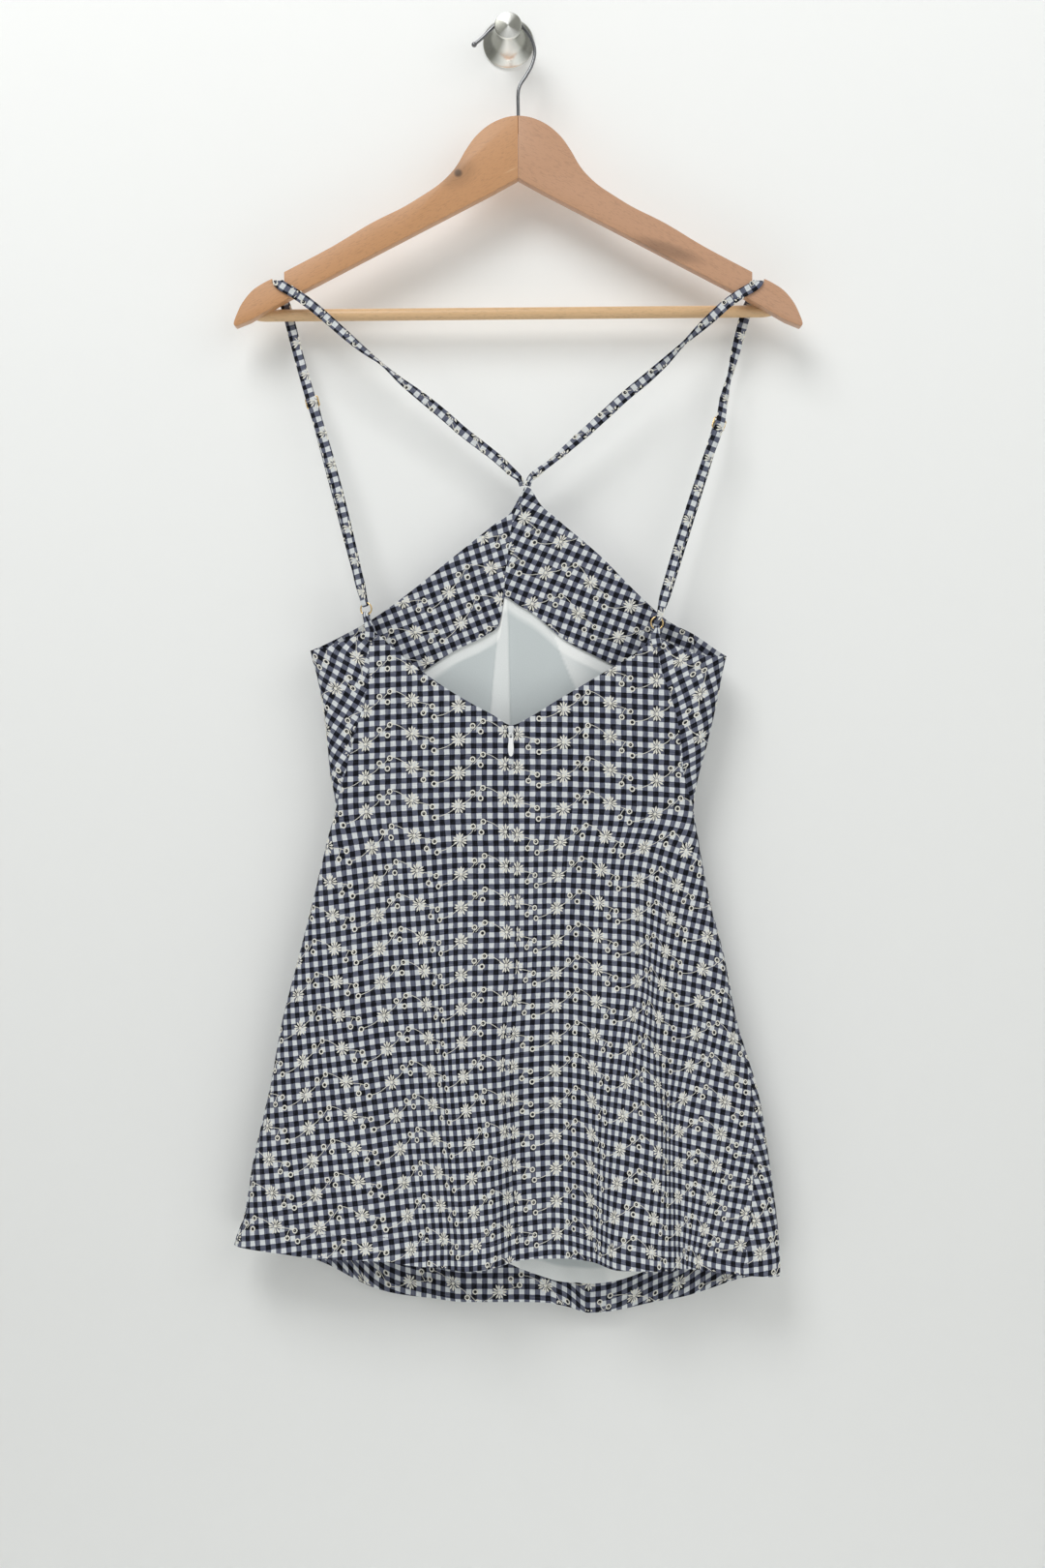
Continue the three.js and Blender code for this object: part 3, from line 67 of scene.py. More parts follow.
# Outline of the hanging dress by height: its left and right edges, how far its near and far
# sides stand from the middle plane, and how far in from each edge the sides round away
OUTLINE = table("z left right near far round", [
    (-340, -155.9, 172.8, 9, 4, 15), (-440, -155.9, 172.8, 10, 8, 15),
    (-489, -155.8, 172.8, 10.5, 10.5, 15), (-507, -151.2, 168.7, 11, 11, 15),
    (-528, -146.7, 164.8, 11.5, 11.5, 15), (-565, -142.1, 156.3, 11.5, 11.5, 14),
    (-590, -139.6, 149.6, 10.5, 10.5, 13), (-611, -135.9, 146.2, 10, 10, 12),
    (-637, -142.1, 149.5, 10.5, 11, 13), (-689.5, -154.6, 159.6, 12, 13, 17),
    (-731, -165.2, 170.2, 13.5, 14, 20), (-782, -178.2, 180.1, 15, 15.5, 23),
    (-839, -188.6, 197, 16.5, 16.5, 26), (-892, -200.6, 205.6, 17.5, 17, 28),
    (-938, -208.6, 211.6, 18, 17.5, 29), (-957.6, -215.6, 213.3, 18, 17.5, 29),
    (-981.8, -218.6, 213.9, 18, 17.5, 29), (-1020, -220, 214, 18, 17.5, 29),
])
# Each side seam on the near side, as its distance round from that side's fold
SIDE_SEAMS = table("z left right", [
    (-470, 52, 63), (-497, 49, 57), (-528, 39, 41), (-553, 28.7, 29.5), (-575, 20.5, 22),
    (-590, 15, 15.5), (-605, 6, 7), (-615.5, 1, 1.5), (-700, 0.5, 1), (-760, 0.5, 3), (-815, 1, 6),
    (-870, 3.5, 15), (-925, 4, 25.5), (-980, 1, 38),
])
# Centre back seam, and the centre front seam on the far side
CENTRE_SEAMS = table("z back front", [
    (-340, 2, 13.6), (-362, 2, 13.2), (-381, 2, 5), (-417, 2, -0.8), (-445, 2, -3.2),
    (-548, 2.2, -1), (-640, 2, 1), (-705, 5.5, 2), (-728, 6.6, 2), (-774, 1.5, 2), (-803, -1.4, 2),
    (-855, 0.9, 2), (-917, 5, 2), (-962, 9.5, 2), (-1020, 11, 2),
])
# Soft steps that run down the skirt, each along a line from top to hem
NEAR_STEPS = table("top_x top_z hem_x full_z width rise", [
    (-68, -640, -41, -930, 20, 9.5), (8, -640, -4, -930, 24, -14.5),
    (60, -660, 75, -950, 21, 11.5), (99, -628, 131, -860, 13, -8),
    (128, -640, 188, -860, 19, -3.5), (-128, -650, -166, -900, 38, 3),
])
FAR_STEPS = table("top_x top_z hem_x full_z width rise", [
    (-84, -645, -118, -930, 32, 5.5), (-26, -660, -48, -950, 28, -9.5),
    (26, -640, 46, -940, 21, 9), (84, -655, 122, -930, 33, -8), (118, -690, 166, -940, 24, 3.5),
])
# The columns of daisies down the back, from left to right: each one's place in the cloth, out
# from the centre seam, and the places that it passes on the skirt, where the folds take up cloth
BACK_COLUMNS = {
    -296.4: [(-600, -294), (-673, -281), (-888, -257), (-957, -250)],
    -259.9: [(-600, -257.5), (-673, -245), (-888, -222), (-957, -215)],
    -223.4: [(-600, -221), (-673, -209), (-888, -187), (-957, -180)],
    -186.9: [(-600, -184.7), (-673, -174), (-888, -152.7), (-957, -145)],
    -150.4: [(-600, -148.2), (-673, -139.4), (-777, -132), (-880, -119.5), (-957, -110.6)],
    -113.9: [(-600, -111.7), (-672, -104), (-777, -96.7), (-880, -84), (-957, -75.2)],
    -77.4: [(-600, -75.2), (-663, -71.2), (-768, -63.6), (-872, -56.3), (-949, -49.7)],
    -40.9: [(-600, -38.7), (-666, -36.8), (-770, -36.4), (-823, -34.6), (-875, -29.7),
            (-953, -24.6)],
    0.2: [(-600, 2.4), (-712, 3.2), (-765, 1.4), (-817, -0.6), (-869, 0.8), (-965, 4)],
    41.3: [(-600, 43.5), (-667, 39), (-745, 37.4), (-823, 36.8), (-896, 37.4), (-965, 38.6)],
    77.8: [(-600, 80), (-662, 72.9), (-715, 70), (-767, 69), (-819, 66.5), (-946, 64)],
    114.3: [(-600, 116.5), (-671, 102.1), (-749, 101), (-802, 94.4), (-855, 88.9), (-957, 80.4)],
    150.8: [(-600, 153), (-676, 132), (-752, 120.3), (-803, 116.2), (-867, 117.4), (-958, 111)],
    187.3: [(-600, 189.5), (-714, 156.4), (-790, 146.9), (-865, 133.2), (-936, 132.2)],
    223.8: [(-600, 226), (-796, 176.4), (-870, 166.4), (-967, 148.2)],
    260.3: [(-600, 262.5), (-796, 211), (-874, 197), (-967, 179)],
    296.8: [(-600, 299), (-796, 244), (-874, 230), (-967, 212)],
}
# How far the rows of the check sag beside the centre, at the top of the skirt and at its hem
BACK_SAG = table("out top hem", [
    (-296.4, 34, 31), (-259.9, 29, 26), (-223.4, 24, 21), (-186.9, 19, 15.5), (-150.4, 14, 11.5),
    (-113.9, 8, 6), (-77.4, 5, 3.7), (-40.9, 1.6, 1.5), (0, 1.2, -3.6), (41.3, 0.4, -8),
    (77.8, 2, -2), (114.3, 4.6, 3.6), (150.8, 14.5, 10.6), (187.3, 24, 14), (223.8, 38, 20),
    (260.3, 50, 27), (296.8, 58, 33),
])
# Cut edges, as heights across the dress
NECKLINE = table("x z", [
    (-112, -474.5), (-106.1, -475.3), (-85.3, -492.8), (-52.4, -517.5), (-31.1, -530.6),
    (-11.4, -541.2), (2.1, -549), (18.1, -542), (37.8, -529.9), (70.7, -510.2), (103.6, -489.6),
    (115, -479.5), (121, -480),
])
NEAR_ARMHOLE = table("x z", [
    (-156, -490), (-146, -489), (-132.9, -484.6), (-121.5, -480), (-109.4, -475), (0, -470),
    (118, -480), (127, -484.7), (140.6, -490.8), (154, -494), (173, -495),
])
FAR_NECK = table("x z", [
    (-156, -490), (-134.3, -479.3), (-108, -465), (-78, -443.5), (-44.9, -416.9), (-11.7, -390.4),
    (5, -376.6), (8.6, -362), (13.2, -360.2), (17.8, -362), (24.5, -373), (38.1, -385.4),
    (71.4, -413.6), (104.7, -446.8), (126.2, -465.9), (147.7, -477.2), (173, -495),
])
FACING_EDGE = table("x z", [
    (-145, -541), (-100, -522), (-67.8, -505.8), (-41.6, -489.2), (-16.6, -476.7), (-6.6, -468.4),
    (-3.4, -447), (8.2, -453.5), (21.6, -461.7), (43.2, -480.1), (71.4, -495), (100, -510),
    (160, -545),
])
NEAR_HEM = table("x z", [
    (-216, -957.6), (-200.6, -958.9), (-151.2, -964.5), (-99, -966.8), (-70, -970.4),
    (-32, -972.6), (0, -968.3), (20, -965.4), (46, -965.2), (67.2, -968.2), (83.8, -972.2),
    (114.8, -973.1), (140, -972.8), (173.4, -977.3), (214, -981.8),
])
FAR_HEM = table("x z", [
    (-216, -957.6), (-180, -964), (-143, -976.8), (-107.2, -996.5), (-65.3, -1004.5),
    (-32.9, -1005.9), (11.3, -1005.9), (32.6, -1006.5), (44, -1009.4), (62.6, -1016.5),
    (82.5, -1015.1), (111, -1008.7), (139.1, -1001.5), (182.2, -988.1), (214, -981.8),
])
LINING_HEM = table("x z", [
    (-200, -940), (-120, -962), (-50, -973), (0, -974.5), (11.3, -979.3), (29.7, -985.7),
    (46.6, -990.7), (68.1, -992), (89.4, -989.2), (116.5, -979.3), (150, -969), (200, -958),
])
LINING_FOLDS = table("top_x hem_x width depth", [
    (-4, -30, 16, 2.6), (38, 62, 22, 2.2), (-52, -88, 24, 1.8), (88, 118, 24, 1.6),
])


# Number helpers
def mix(a, b, t):
    return a + (b - a) * t


def smooth(t):
    t = np.clip(t, 0, 1)
    return t * t * (3 - 2 * t)


def unit(vector):
    return vector / np.linalg.norm(vector, axis=-1, keepdims=True)


def smooth_way(t, span, start, end, slope, end_slope):
    """A smooth line over a span, from one value and slope to another"""
    t2, t3 = t * t, t * t * t
    return ((2 * t3 - 3 * t2 + 1) * start + (t3 - 2 * t2 + t) * span * slope
            + (3 * t2 - 2 * t3) * end + (t3 - t2) * span * end_slope)


def track(rows, along, column, at):
    """Reads a column of a table between its rows, along a smooth line that never overshoots"""
    xs, ys = rows[along], rows[column]
    if xs[0] > xs[-1]:
        xs, ys = xs[::-1], ys[::-1]
    spans = np.diff(xs)
    chords = np.diff(ys) / spans
    means = np.concatenate([chords[:1], (chords[:-1] + chords[1:]) / 2, chords[-1:]])

    def level(slope):
        limited = np.sign(chords) * np.minimum(abs(slope), 2 * abs(chords))
        return np.where(slope * chords <= 0, 0, limited)

    m0, m1 = level(means[:-1]), level(means[1:])
    at = np.asarray(at, float)
    i = np.clip(np.searchsorted(xs, at) - 1, 0, len(spans) - 1)
    t = np.clip((at - xs[i]) / spans[i], 0, 1)
    return smooth_way(t, spans[i], ys[i], ys[i + 1], m0[i], m1[i])


def step_height(steps, x, z):
    """How far a set of steps stands out at a place on the skirt"""
    height = 0
    for top_x, top_z, hem_x, full_z, width, rise in zip(*steps.values()):
        line = mix(top_x, hem_x, (top_z - z) / (top_z - HEM_Z))
        formed = smooth((top_z - z) / (top_z - full_z))
        height = height + rise * formed * smooth((x - line) / width + 0.5)
    return height


# The dress is a flattened tube. Its sections are worked out once, level by level: each runs
# from the left fold along the near side to the right fold, and back along the far side.
LEVEL_STEP = 1.5
LEVELS = np.arange(-1034.0, -330.0, LEVEL_STEP)
SECTION_STEPS = 220
PLACES = 360  # evenly spaced places kept along each side of a section


def side_of_section(z, side):
    """Places along one side of the sections, evenly spaced, and each side's length"""
    left, right, reach, rounding = (
        track(OUTLINE, "z", column, z)[:, None] for column in ("left", "right", side, "round"))
    turn = np.linspace(0, math.pi, SECTION_STEPS + 1)
    x = (left + right) / 2 - (right - left) / 2 * np.cos(turn)
    in_from_edge = np.minimum(x - left, right - x)
    corner = np.sqrt(1 - (1 - np.clip(in_from_edge / rounding, 0, 1)) ** 2)
    across = (2 * x - left - right) / (right - left)
    steps = NEAR_STEPS if side == "near" else FAR_STEPS
    depth = reach * corner * (0.8 + 0.2 * (1 - across ** 2))
    depth += step_height(steps, x, z[:, None]) * smooth(in_from_edge / 45)
    y = MIDDLE_Y - depth if side == "near" else MIDDLE_Y + depth
    if side == "far":
        x, y = x[:, ::-1], y[:, ::-1]
    runs = np.hypot(np.diff(x), np.diff(y))
    reached = np.hstack([np.zeros((len(z), 1)), np.cumsum(runs, axis=1)])
    even = np.linspace(0, 1, PLACES)
    places = np.array([
        [np.interp(even * at[-1], at, row_x), np.interp(even * at[-1], at, row_y)]
        for at, row_x, row_y in zip(reached, x, y)])
    return places, reached[:, -1]


NEAR_PLACES, NEAR_LENGTHS = side_of_section(LEVELS, "near")
FAR_PLACES, FAR_LENGTHS = side_of_section(LEVELS, "far")
SIDES = np.stack([NEAR_PLACES, FAR_PLACES])


def half(z):
    """The distance round at the right fold"""
    return np.interp(z, LEVELS, NEAR_LENGTHS)


def whole(z):
    """The distance all round"""
    return half(z) + np.interp(z, LEVELS, FAR_LENGTHS)


def place(along, z):
    """The place on the dress at a height and a distance round from the left fold"""
    along = np.mod(along, whole(z))
    side = (along >= half(z)).astype(int)
    share = np.where(side == 0, along / half(z), (along - half(z)) / (whole(z) - half(z)))
    level = np.clip((z - LEVELS[0]) / LEVEL_STEP, 0, len(LEVELS) - 1.001)
    spot = np.clip(share * (PLACES - 1), 0, PLACES - 1.001)
    i, j = level.astype(int), spot.astype(int)
    a, b = level - i, spot - j
    found = [
        mix(mix(SIDES[side, i, k, j], SIDES[side, i, k, j + 1], b),
            mix(SIDES[side, i + 1, k, j], SIDES[side, i + 1, k, j + 1], b), a)
        for k in (0, 1)]
    return np.stack([found[0], found[1], z + 0 * along], axis=-1)


def distance_at(z, x, side):
    """The distance round at which the near or far side passes x"""
    z, x = np.broadcast_arrays(np.asarray(z, float), np.asarray(x, float))
    low = 0 * z if side == "near" else half(z)
    high = half(z) if side == "near" else whole(z) - 1e-6
    sign = 1 if side == "near" else -1
    for _ in range(26):
        middle = (low + high) / 2
        passed = (place(middle, z)[..., 0] - x) * sign > 0
        low, high = np.where(passed, low, middle), np.where(passed, middle, high)
    return (low + high) / 2


# The seams, as distances round from the left fold
SEAM_ROWS = {
    "left": track(SIDE_SEAMS, "z", "left", LEVELS),
    "right": half(LEVELS) - track(SIDE_SEAMS, "z", "right", LEVELS),
    "back": distance_at(LEVELS, track(CENTRE_SEAMS, "z", "back", LEVELS), "near"),
    "front": distance_at(LEVELS, track(CENTRE_SEAMS, "z", "front", LEVELS), "far"),
}
SEAM_ROWS["left again"] = SEAM_ROWS["left"] + whole(LEVELS)


def seam(name):
    return lambda z: np.interp(z, LEVELS, SEAM_ROWS[name])


def edge_height(along_at, near, far, start):
    """Solves for the heights where the columns of a panel meet a cut edge"""
    z = start + 0 * along_at(np.asarray(start, float))
    for _ in range(24):
        along = along_at(z)
        x = place(along, z)[..., 0]
        is_near = np.mod(along, whole(z)) < half(z)
        aim = np.where(is_near, track(near, "x", "z", x), track(far, "x", "z", x))
        z = mix(z, aim, 0.6)
    return z


def facing_way(points):
    """The way a grid of places faces: outwards on the dress"""
    across = np.gradient(points, axis=0)
    up = np.gradient(points, axis=1)
    return unit(np.cross(across, up))


def panel(start, end, lower, upper, around, tall):
    """A panel of cloth as a grid of places, from one seam to another. lower and upper are
    heights, or the near and far cut edges and a height to look from. around and tall are its
    rough size, which sets the number of faces."""
    columns, rows = round(around / CELL), round(tall / CELL)
    t = np.linspace(0, 1, columns + 1)
    v = np.linspace(0, 1, rows + 1)

    def along_at(z):
        return mix(start(z), end(z), t)

    bottom, top = (
        edge_height(along_at, *edge) if isinstance(edge, tuple) else edge + 0 * t
        for edge in (lower, upper))
    z = mix(bottom[:, None], top[:, None], v[None, :])
    along = mix(start(z), end(z), t[:, None])
    points = place(along, z)
    return {"along": along, "z": z, "points": points, "out": facing_way(points),
            "above hem": z - bottom[:, None], "below top": top[:, None] - z}


def inside_panel(ends, lower, upper, across, tall, crowd=0.0):
    """A panel inside the front, on the far side, between two places across it. crowd draws its
    columns towards the middle, where it shows."""
    columns, rows = round(across / CELL), round(tall / CELL)
    s = np.linspace(-1, 1, columns + 1)[:, None]
    s = 0.5 + mix(s, s ** 3, crowd) / 2
    v = np.linspace(0, 1, rows + 1)[None, :]
    z = np.full((columns + 1, rows + 1), -500.0)
    for _ in range(30):
        x = mix(ends[0](z), ends[1](z), s)
        z = mix(z, mix(lower(x), upper(x), v), 0.5)
    along = distance_at(z, x, "far")
    points = place(along, z)
    bottom = z[:, :1]
    return {"along": along, "z": z, "x": x, "v": v + 0 * z, "points": points,
            "out": facing_way(points), "above hem": z - bottom, "below top": z[:, -1:] - z}


# Creases
# Each runs from one place to another on a side of the dress. A trough has a negative depth.
CREASES = table("side x0 z0 x1 z1 width depth", [
    (0, -118, -500, -60, -585, 9, -0.9), (0, -95, -520, -20, -600, 12, 0.8),
    (0, 112, -505, 62, -580, 9, -0.9), (0, 92, -530, 24, -612, 12, 0.8),
    (0, -130, -560, -96, -640, 8, -0.8), (0, 136, -560, 104, -650, 8, -0.9),
    (0, -20, -560, -34, -650, 9, -0.7), (0, 22, -565, 36, -668, 10, -0.7),
    (0, 4, -570, 6, -640, 7, -0.6), (0, -56, -640, -88, -800, 13, -1.2),
    (0, 44, -650, 30, -780, 12, -1.1), (0, 108, -660, 128, -840, 11, -1.3),
    (0, -104, -650, -138, -820, 12, 1.1), (0, -24, -700, -30, -880, 14, 1.1),
    (0, 70, -720, 92, -930, 12, 1.0), (0, -84, -800, -96, -940, 13, -1.3),
    (0, 24, -800, 30, -950, 12, -1.2), (0, 150, -800, 176, -940, 11, -1.2),
    (0, -160, -800, -184, -930, 12, 1.1), (0, 120, -840, 140, -960, 10, 1.0),
    (1, -110, -520, -40, -610, 12, 0.9), (1, 112, -520, 44, -600, 11, 0.9),
    (1, -60, -470, -30, -560, 10, -0.8), (1, 66, -480, 40, -570, 10, -0.8),
    (1, -90, -640, -120, -820, 13, -1.2), (1, 20, -650, 26, -830, 12, -1.2),
    (1, 96, -650, 126, -840, 12, 1.1), (1, -140, -720, -170, -900, 12, 1.1),
    (1, -10, -760, -16, -940, 13, 1.0), (1, 60, -800, 74, -960, 12, -1.1),
    (1, 150, -780, 176, -930, 11, -1.2), (1, -76, -850, -88, -970, 12, -1.0),
])


def crease_height(grid):
    """How far the creases stand out over a panel"""
    x, z = grid["points"][..., 0], grid["z"]
    is_far = np.mod(grid["along"], whole(z)) >= half(z)
    height = 0 * z
    for side, x0, z0, x1, z1, width, depth in zip(*CREASES.values()):
        run_x, run_z = x1 - x0, z1 - z0
        length = math.hypot(run_x, run_z)
        t = ((x - x0) * run_x + (z - z0) * run_z) / length ** 2
        aside = ((x - x0) * run_z - (z - z0) * run_x) / length
        aside = aside + 0.06 * length * np.sin(math.pi * np.clip(t, 0, 1))
        ends = smooth(t * 3 + 0.35) * smooth((1 - t) * 3 + 0.35)
        height += depth * ends * np.exp(-2 * (aside / width) ** 2) * (is_far == (side == 1))
    return height


def pucker(grid, from_seam, seed):
    """Small uneven puckers beside a seam, strongest on the seam and gone 8 mm away"""
    z = grid["z"]
    waves = np.sin(z / 2.1 + seed) + 0.7 * np.sin(z / 3.7 + 2.3 * seed)
    waves += 0.5 * np.sin(z / 1.5 - seed)
    return 0.13 * waves * np.exp(-(from_seam / 5.0) ** 2)


def seam_groove(from_seam, depth=0.8, width=1.5):
    """The cloth rolls inwards where it is sewn"""
    return -depth * np.exp(-(from_seam / width) ** 2)


HEM_DOUBLE_UP = 19.5  # how far up the hem lies double
HEM_STITCHED_UP = 19.0


def hem_relief(grid):
    """Above its edge the hem is double as far as its stitching, which pulls the cloth in"""
    up = grid["above hem"]
    stitched = np.exp(-((up - HEM_STITCHED_UP) / 1.1) ** 2)
    return 0.3 * smooth((HEM_DOUBLE_UP - up) / 1.2) - 0.35 * stitched


# Panels become meshes
def primitive(add, name, **settings):
    """Adds a primitive with nothing else selected"""
    bpy.ops.object.select_all(action="DESELECT")
    add(**settings)
    piece = bpy.context.active_object
    piece.name = name
    return piece


def select_only(*pieces):
    bpy.ops.object.select_all(action="DESELECT")
    for piece in pieces:
        piece.select_set(True)
    bpy.context.view_layer.objects.active = pieces[0]


def apply(modifier):
    bpy.ops.object.modifier_apply(modifier=modifier.name)


def smooth_faces(angle):
    bpy.ops.object.shade_smooth_by_angle(angle=math.radians(angle))


def face_outwards():
    """Ends an edit with all faces pointing outwards"""
    bpy.ops.mesh.select_all(action="SELECT")
    bpy.ops.mesh.normals_make_consistent(inside=False)
    bpy.ops.object.mode_set(mode="OBJECT")


def laid_grid(name, points, fabric):
    """A grid laid at places in space, with its places in the flat cloth as its UV map. Returns
    it with the column and the row of each vertex."""
    columns, rows = points.shape[0] - 1, points.shape[1] - 1
    piece = primitive(bpy.ops.mesh.primitive_grid_add, name, x_subdivisions=columns,
                      y_subdivisions=rows, size=2)
    mesh = piece.data
    flat = np.empty(len(mesh.vertices) * 3, np.float32)
    mesh.vertices.foreach_get("co", flat)
    flat = flat.reshape(-1, 3)
    i = np.rint((flat[:, 0] + 1) / 2 * columns).astype(int)
    j = np.rint((flat[:, 1] + 1) / 2 * rows).astype(int)
    mesh.vertices.foreach_set("co", (points[i, j] * MM).astype(np.float32).ravel())
    corners = np.empty(len(mesh.loops), np.int32)
    mesh.loops.foreach_get("vertex_index", corners)
    uv = (fabric[i, j] * MM).astype(np.float32)[corners]
    mesh.uv_layers[0].data.foreach_set("uv", uv.ravel())
    return piece, i, j


def grid_object(name, grid, lift, fabric, thickness, layers_and_painted_light=None):
    """A thin shell over a panel's grid. lift moves it out, and fabric is its place in the flat
    cloth, which the check and the embroidery follow. The last argument says where it lies double,
    and where it is painted whiter as painted light."""
    points = grid["points"] + grid["out"] * np.broadcast_to(lift, grid["z"].shape)[..., None]
    grid.update({"laid": points, "fabric": fabric})
    piece, i, j = laid_grid(name, points, fabric)
    if layers_and_painted_light is not None:
        layer_values = piece.data.attributes.new("layers_and_painted_light", "FLOAT", "POINT").data
        layer_values.foreach_set("value", layers_and_painted_light[i, j])
    solid = piece.modifiers.new("thickness", "SOLIDIFY")
    solid.thickness = thickness * MM
    solid.offset = 0
    apply(solid)
    smooth_faces(50)
    return piece


def forms(name, places, faces):
    """One mesh of many small forms, from their places and faces"""
    mesh = bpy.data.meshes.new(name)
    mesh.from_pydata((places * MM).tolist(), [], faces)
    piece = bpy.data.objects.new(name, mesh)
    bpy.context.scene.collection.objects.link(piece)
    return piece


def turned(across, up, angle):
    """Places in a cloth whose rows run at an angle, in degrees, over the panel"""
    c, s = math.cos(math.radians(angle)), math.sin(math.radians(angle))
    return np.stack([across * c + up * s, up * c - across * s], axis=-1)


CHECK_START = np.array([-3.9, -556.5])  # the middle of a dark column and of a dark row
WHITE_START = CHECK_START + CHECK / 2
FOLD_MARGIN = 12.0  # nearer to a side fold, a column is laid by its distance and not by x
SKIRT_FOLDS_Z = -600.0  # below here the folds of the skirt move the check
BODICE_SAG = 0.00067  # how fast the rows sag from the centre back, for each millimetre squared
FRONT_RISE = 0.00034


def column_distances(out, path):
    """The distance round at which a column of the cloth passes each level"""
    passes = track(table("z x", path), "z", "x", LEVELS)
    left, right = track(OUTLINE, "z", "left", LEVELS), track(OUTLINE, "z", "right", LEVELS)
    inside = np.clip(passes, left + FOLD_MARGIN, right - FOLD_MARGIN)
    on_skirt = distance_at(LEVELS, inside, "near") + passes - inside
    return mix(SEAM_ROWS["back"] + out, on_skirt, smooth((SKIRT_FOLDS_Z - LEVELS) / 50))


COLUMNS_OUT = np.array(list(BACK_COLUMNS))
COLUMN_ROWS = np.array([column_distances(*column) for column in BACK_COLUMNS.items()])


def back_fabric(along, z):
    """The back is cut on the straight grain. Its columns crowd where the skirt folds, and its
    rows sag towards the side seams."""
    at = np.array([np.interp(z, LEVELS, row) for row in COLUMN_ROWS])
    steps = np.diff(COLUMNS_OUT).reshape(-1, *[1] * along.ndim) / np.diff(at, axis=0)
    inner = 2 * steps[:-1] * steps[1:] / (steps[:-1] + steps[1:])
    slopes = np.concatenate([steps[:1], inner, steps[-1:]])
    k = np.clip((at <= along).sum(axis=0) - 1, 0, len(at) - 2)
    a, b, m0, m1 = (
        np.take_along_axis(rows, index[None], axis=0)[0]
        for rows, index in ((at, k), (at, k + 1), (slopes, k), (slopes, k + 1)))
    t = np.clip((along - a) / (b - a), 0, 1)
    out = smooth_way(t, b - a, COLUMNS_OUT[k], COLUMNS_OUT[k + 1], m0, m1)
    lower = np.clip((-660 - z) / 300, 0, 1)
    on_skirt = mix(track(BACK_SAG, "out", "top", out), track(BACK_SAG, "out", "hem", out), lower)
    sag = mix(BODICE_SAG / 2 * out ** 2, on_skirt, smooth((SKIRT_FOLDS_Z - z) / 70))
    return np.stack([out, z + sag], axis=-1)


def front_fabric(along, z):
    from_centre = along - seam("front")(z)
    down = np.clip((SKIRT_FOLDS_Z - z) / (SKIRT_FOLDS_Z - HEM_Z), 0, 1)
    rise = FRONT_RISE / 2 * from_centre ** 2
    return np.stack([from_centre * (1 + 0.05 * down), z + rise], axis=-1)


def cross_cut(angle, white, mirrored=False):
    """The cloth of a piece cut on the cross. white is the distance round and the height of the
    middle of one white square, and a mirrored piece shows its inner side."""
    white_along, white_z = white
    start = white_along - seam("front")(white_z)
    way = -1 if mirrored else 1

    def fabric(along, z):
        across = way * (along - seam("front")(z) - start)
        return turned(across, z - white_z, angle) + WHITE_START
    return fabric


# Materials
def colour(hex_value):
    """An sRGB hex colour as a linear one"""
    parts = [int(hex_value[k:k + 2], 16) / 255 for k in (1, 3, 5)]
    linear = [c / 12.92 if c <= 0.04045 else ((c + 0.055) / 1.055) ** 2.4 for c in parts]
    return (*linear, 1)


def feed(made, socket, source):
    """Gives a socket a link or a value. A node gives its first output."""
    source = source.outputs[0] if isinstance(source, bpy.types.Node) else source
    if isinstance(source, bpy.types.NodeSocket):
        made.id_data.links.new(source, made.inputs[socket])
    else:
        made.inputs[socket].default_value = source


def node(tree, kind, inputs=(), **settings):
    """Adds a node. inputs are links or values for its sockets, by name or in their order, and
    settings are its properties or the values of named sockets."""
    made = tree.nodes.new("ShaderNode" + kind)
    for name, value in settings.items():
        if hasattr(made, name):
            setattr(made, name, value)
        else:
            made.inputs[name.replace("_", " ")].default_value = value
    for socket, source in inputs.items() if isinstance(inputs, dict) else enumerate(inputs):
        feed(made, socket, source)
    return made


def finish(name, base, roughness, **shader):
    """A new material with a Principled shader"""
    material = bpy.data.materials.new(name)
    material.use_nodes = True
    tree = material.node_tree
    surface = tree.nodes["Principled BSDF"]
    for socket, value in {"Base Color": colour(base), "Roughness": roughness, **shader}.items():
        surface.inputs[socket.replace("_", " ")].default_value = value
    material.diffuse_color = colour(base)
    return material, tree, surface


def toned(ramp, *tones):
    """Fills a colour ramp with two or three tones, evenly spaced"""
    stops = ramp.color_ramp.elements
    if len(tones) == 3:
        stops.new(0.5)
    for stop, tone in zip(stops, tones):
        stop.color = colour(tone)
    return ramp


def streaks(tree, place_at, stretch, detail, distortion=0.0):
    """Noise drawn out into streaks. stretch is how many lie in a metre, each way."""
    drawn = node(tree, "VectorMath", [place_at, stretch], operation="MULTIPLY")
    return node(tree, "TexNoise", {"Vector": drawn}, Scale=1.0, Detail=detail,
                Distortion=distortion)


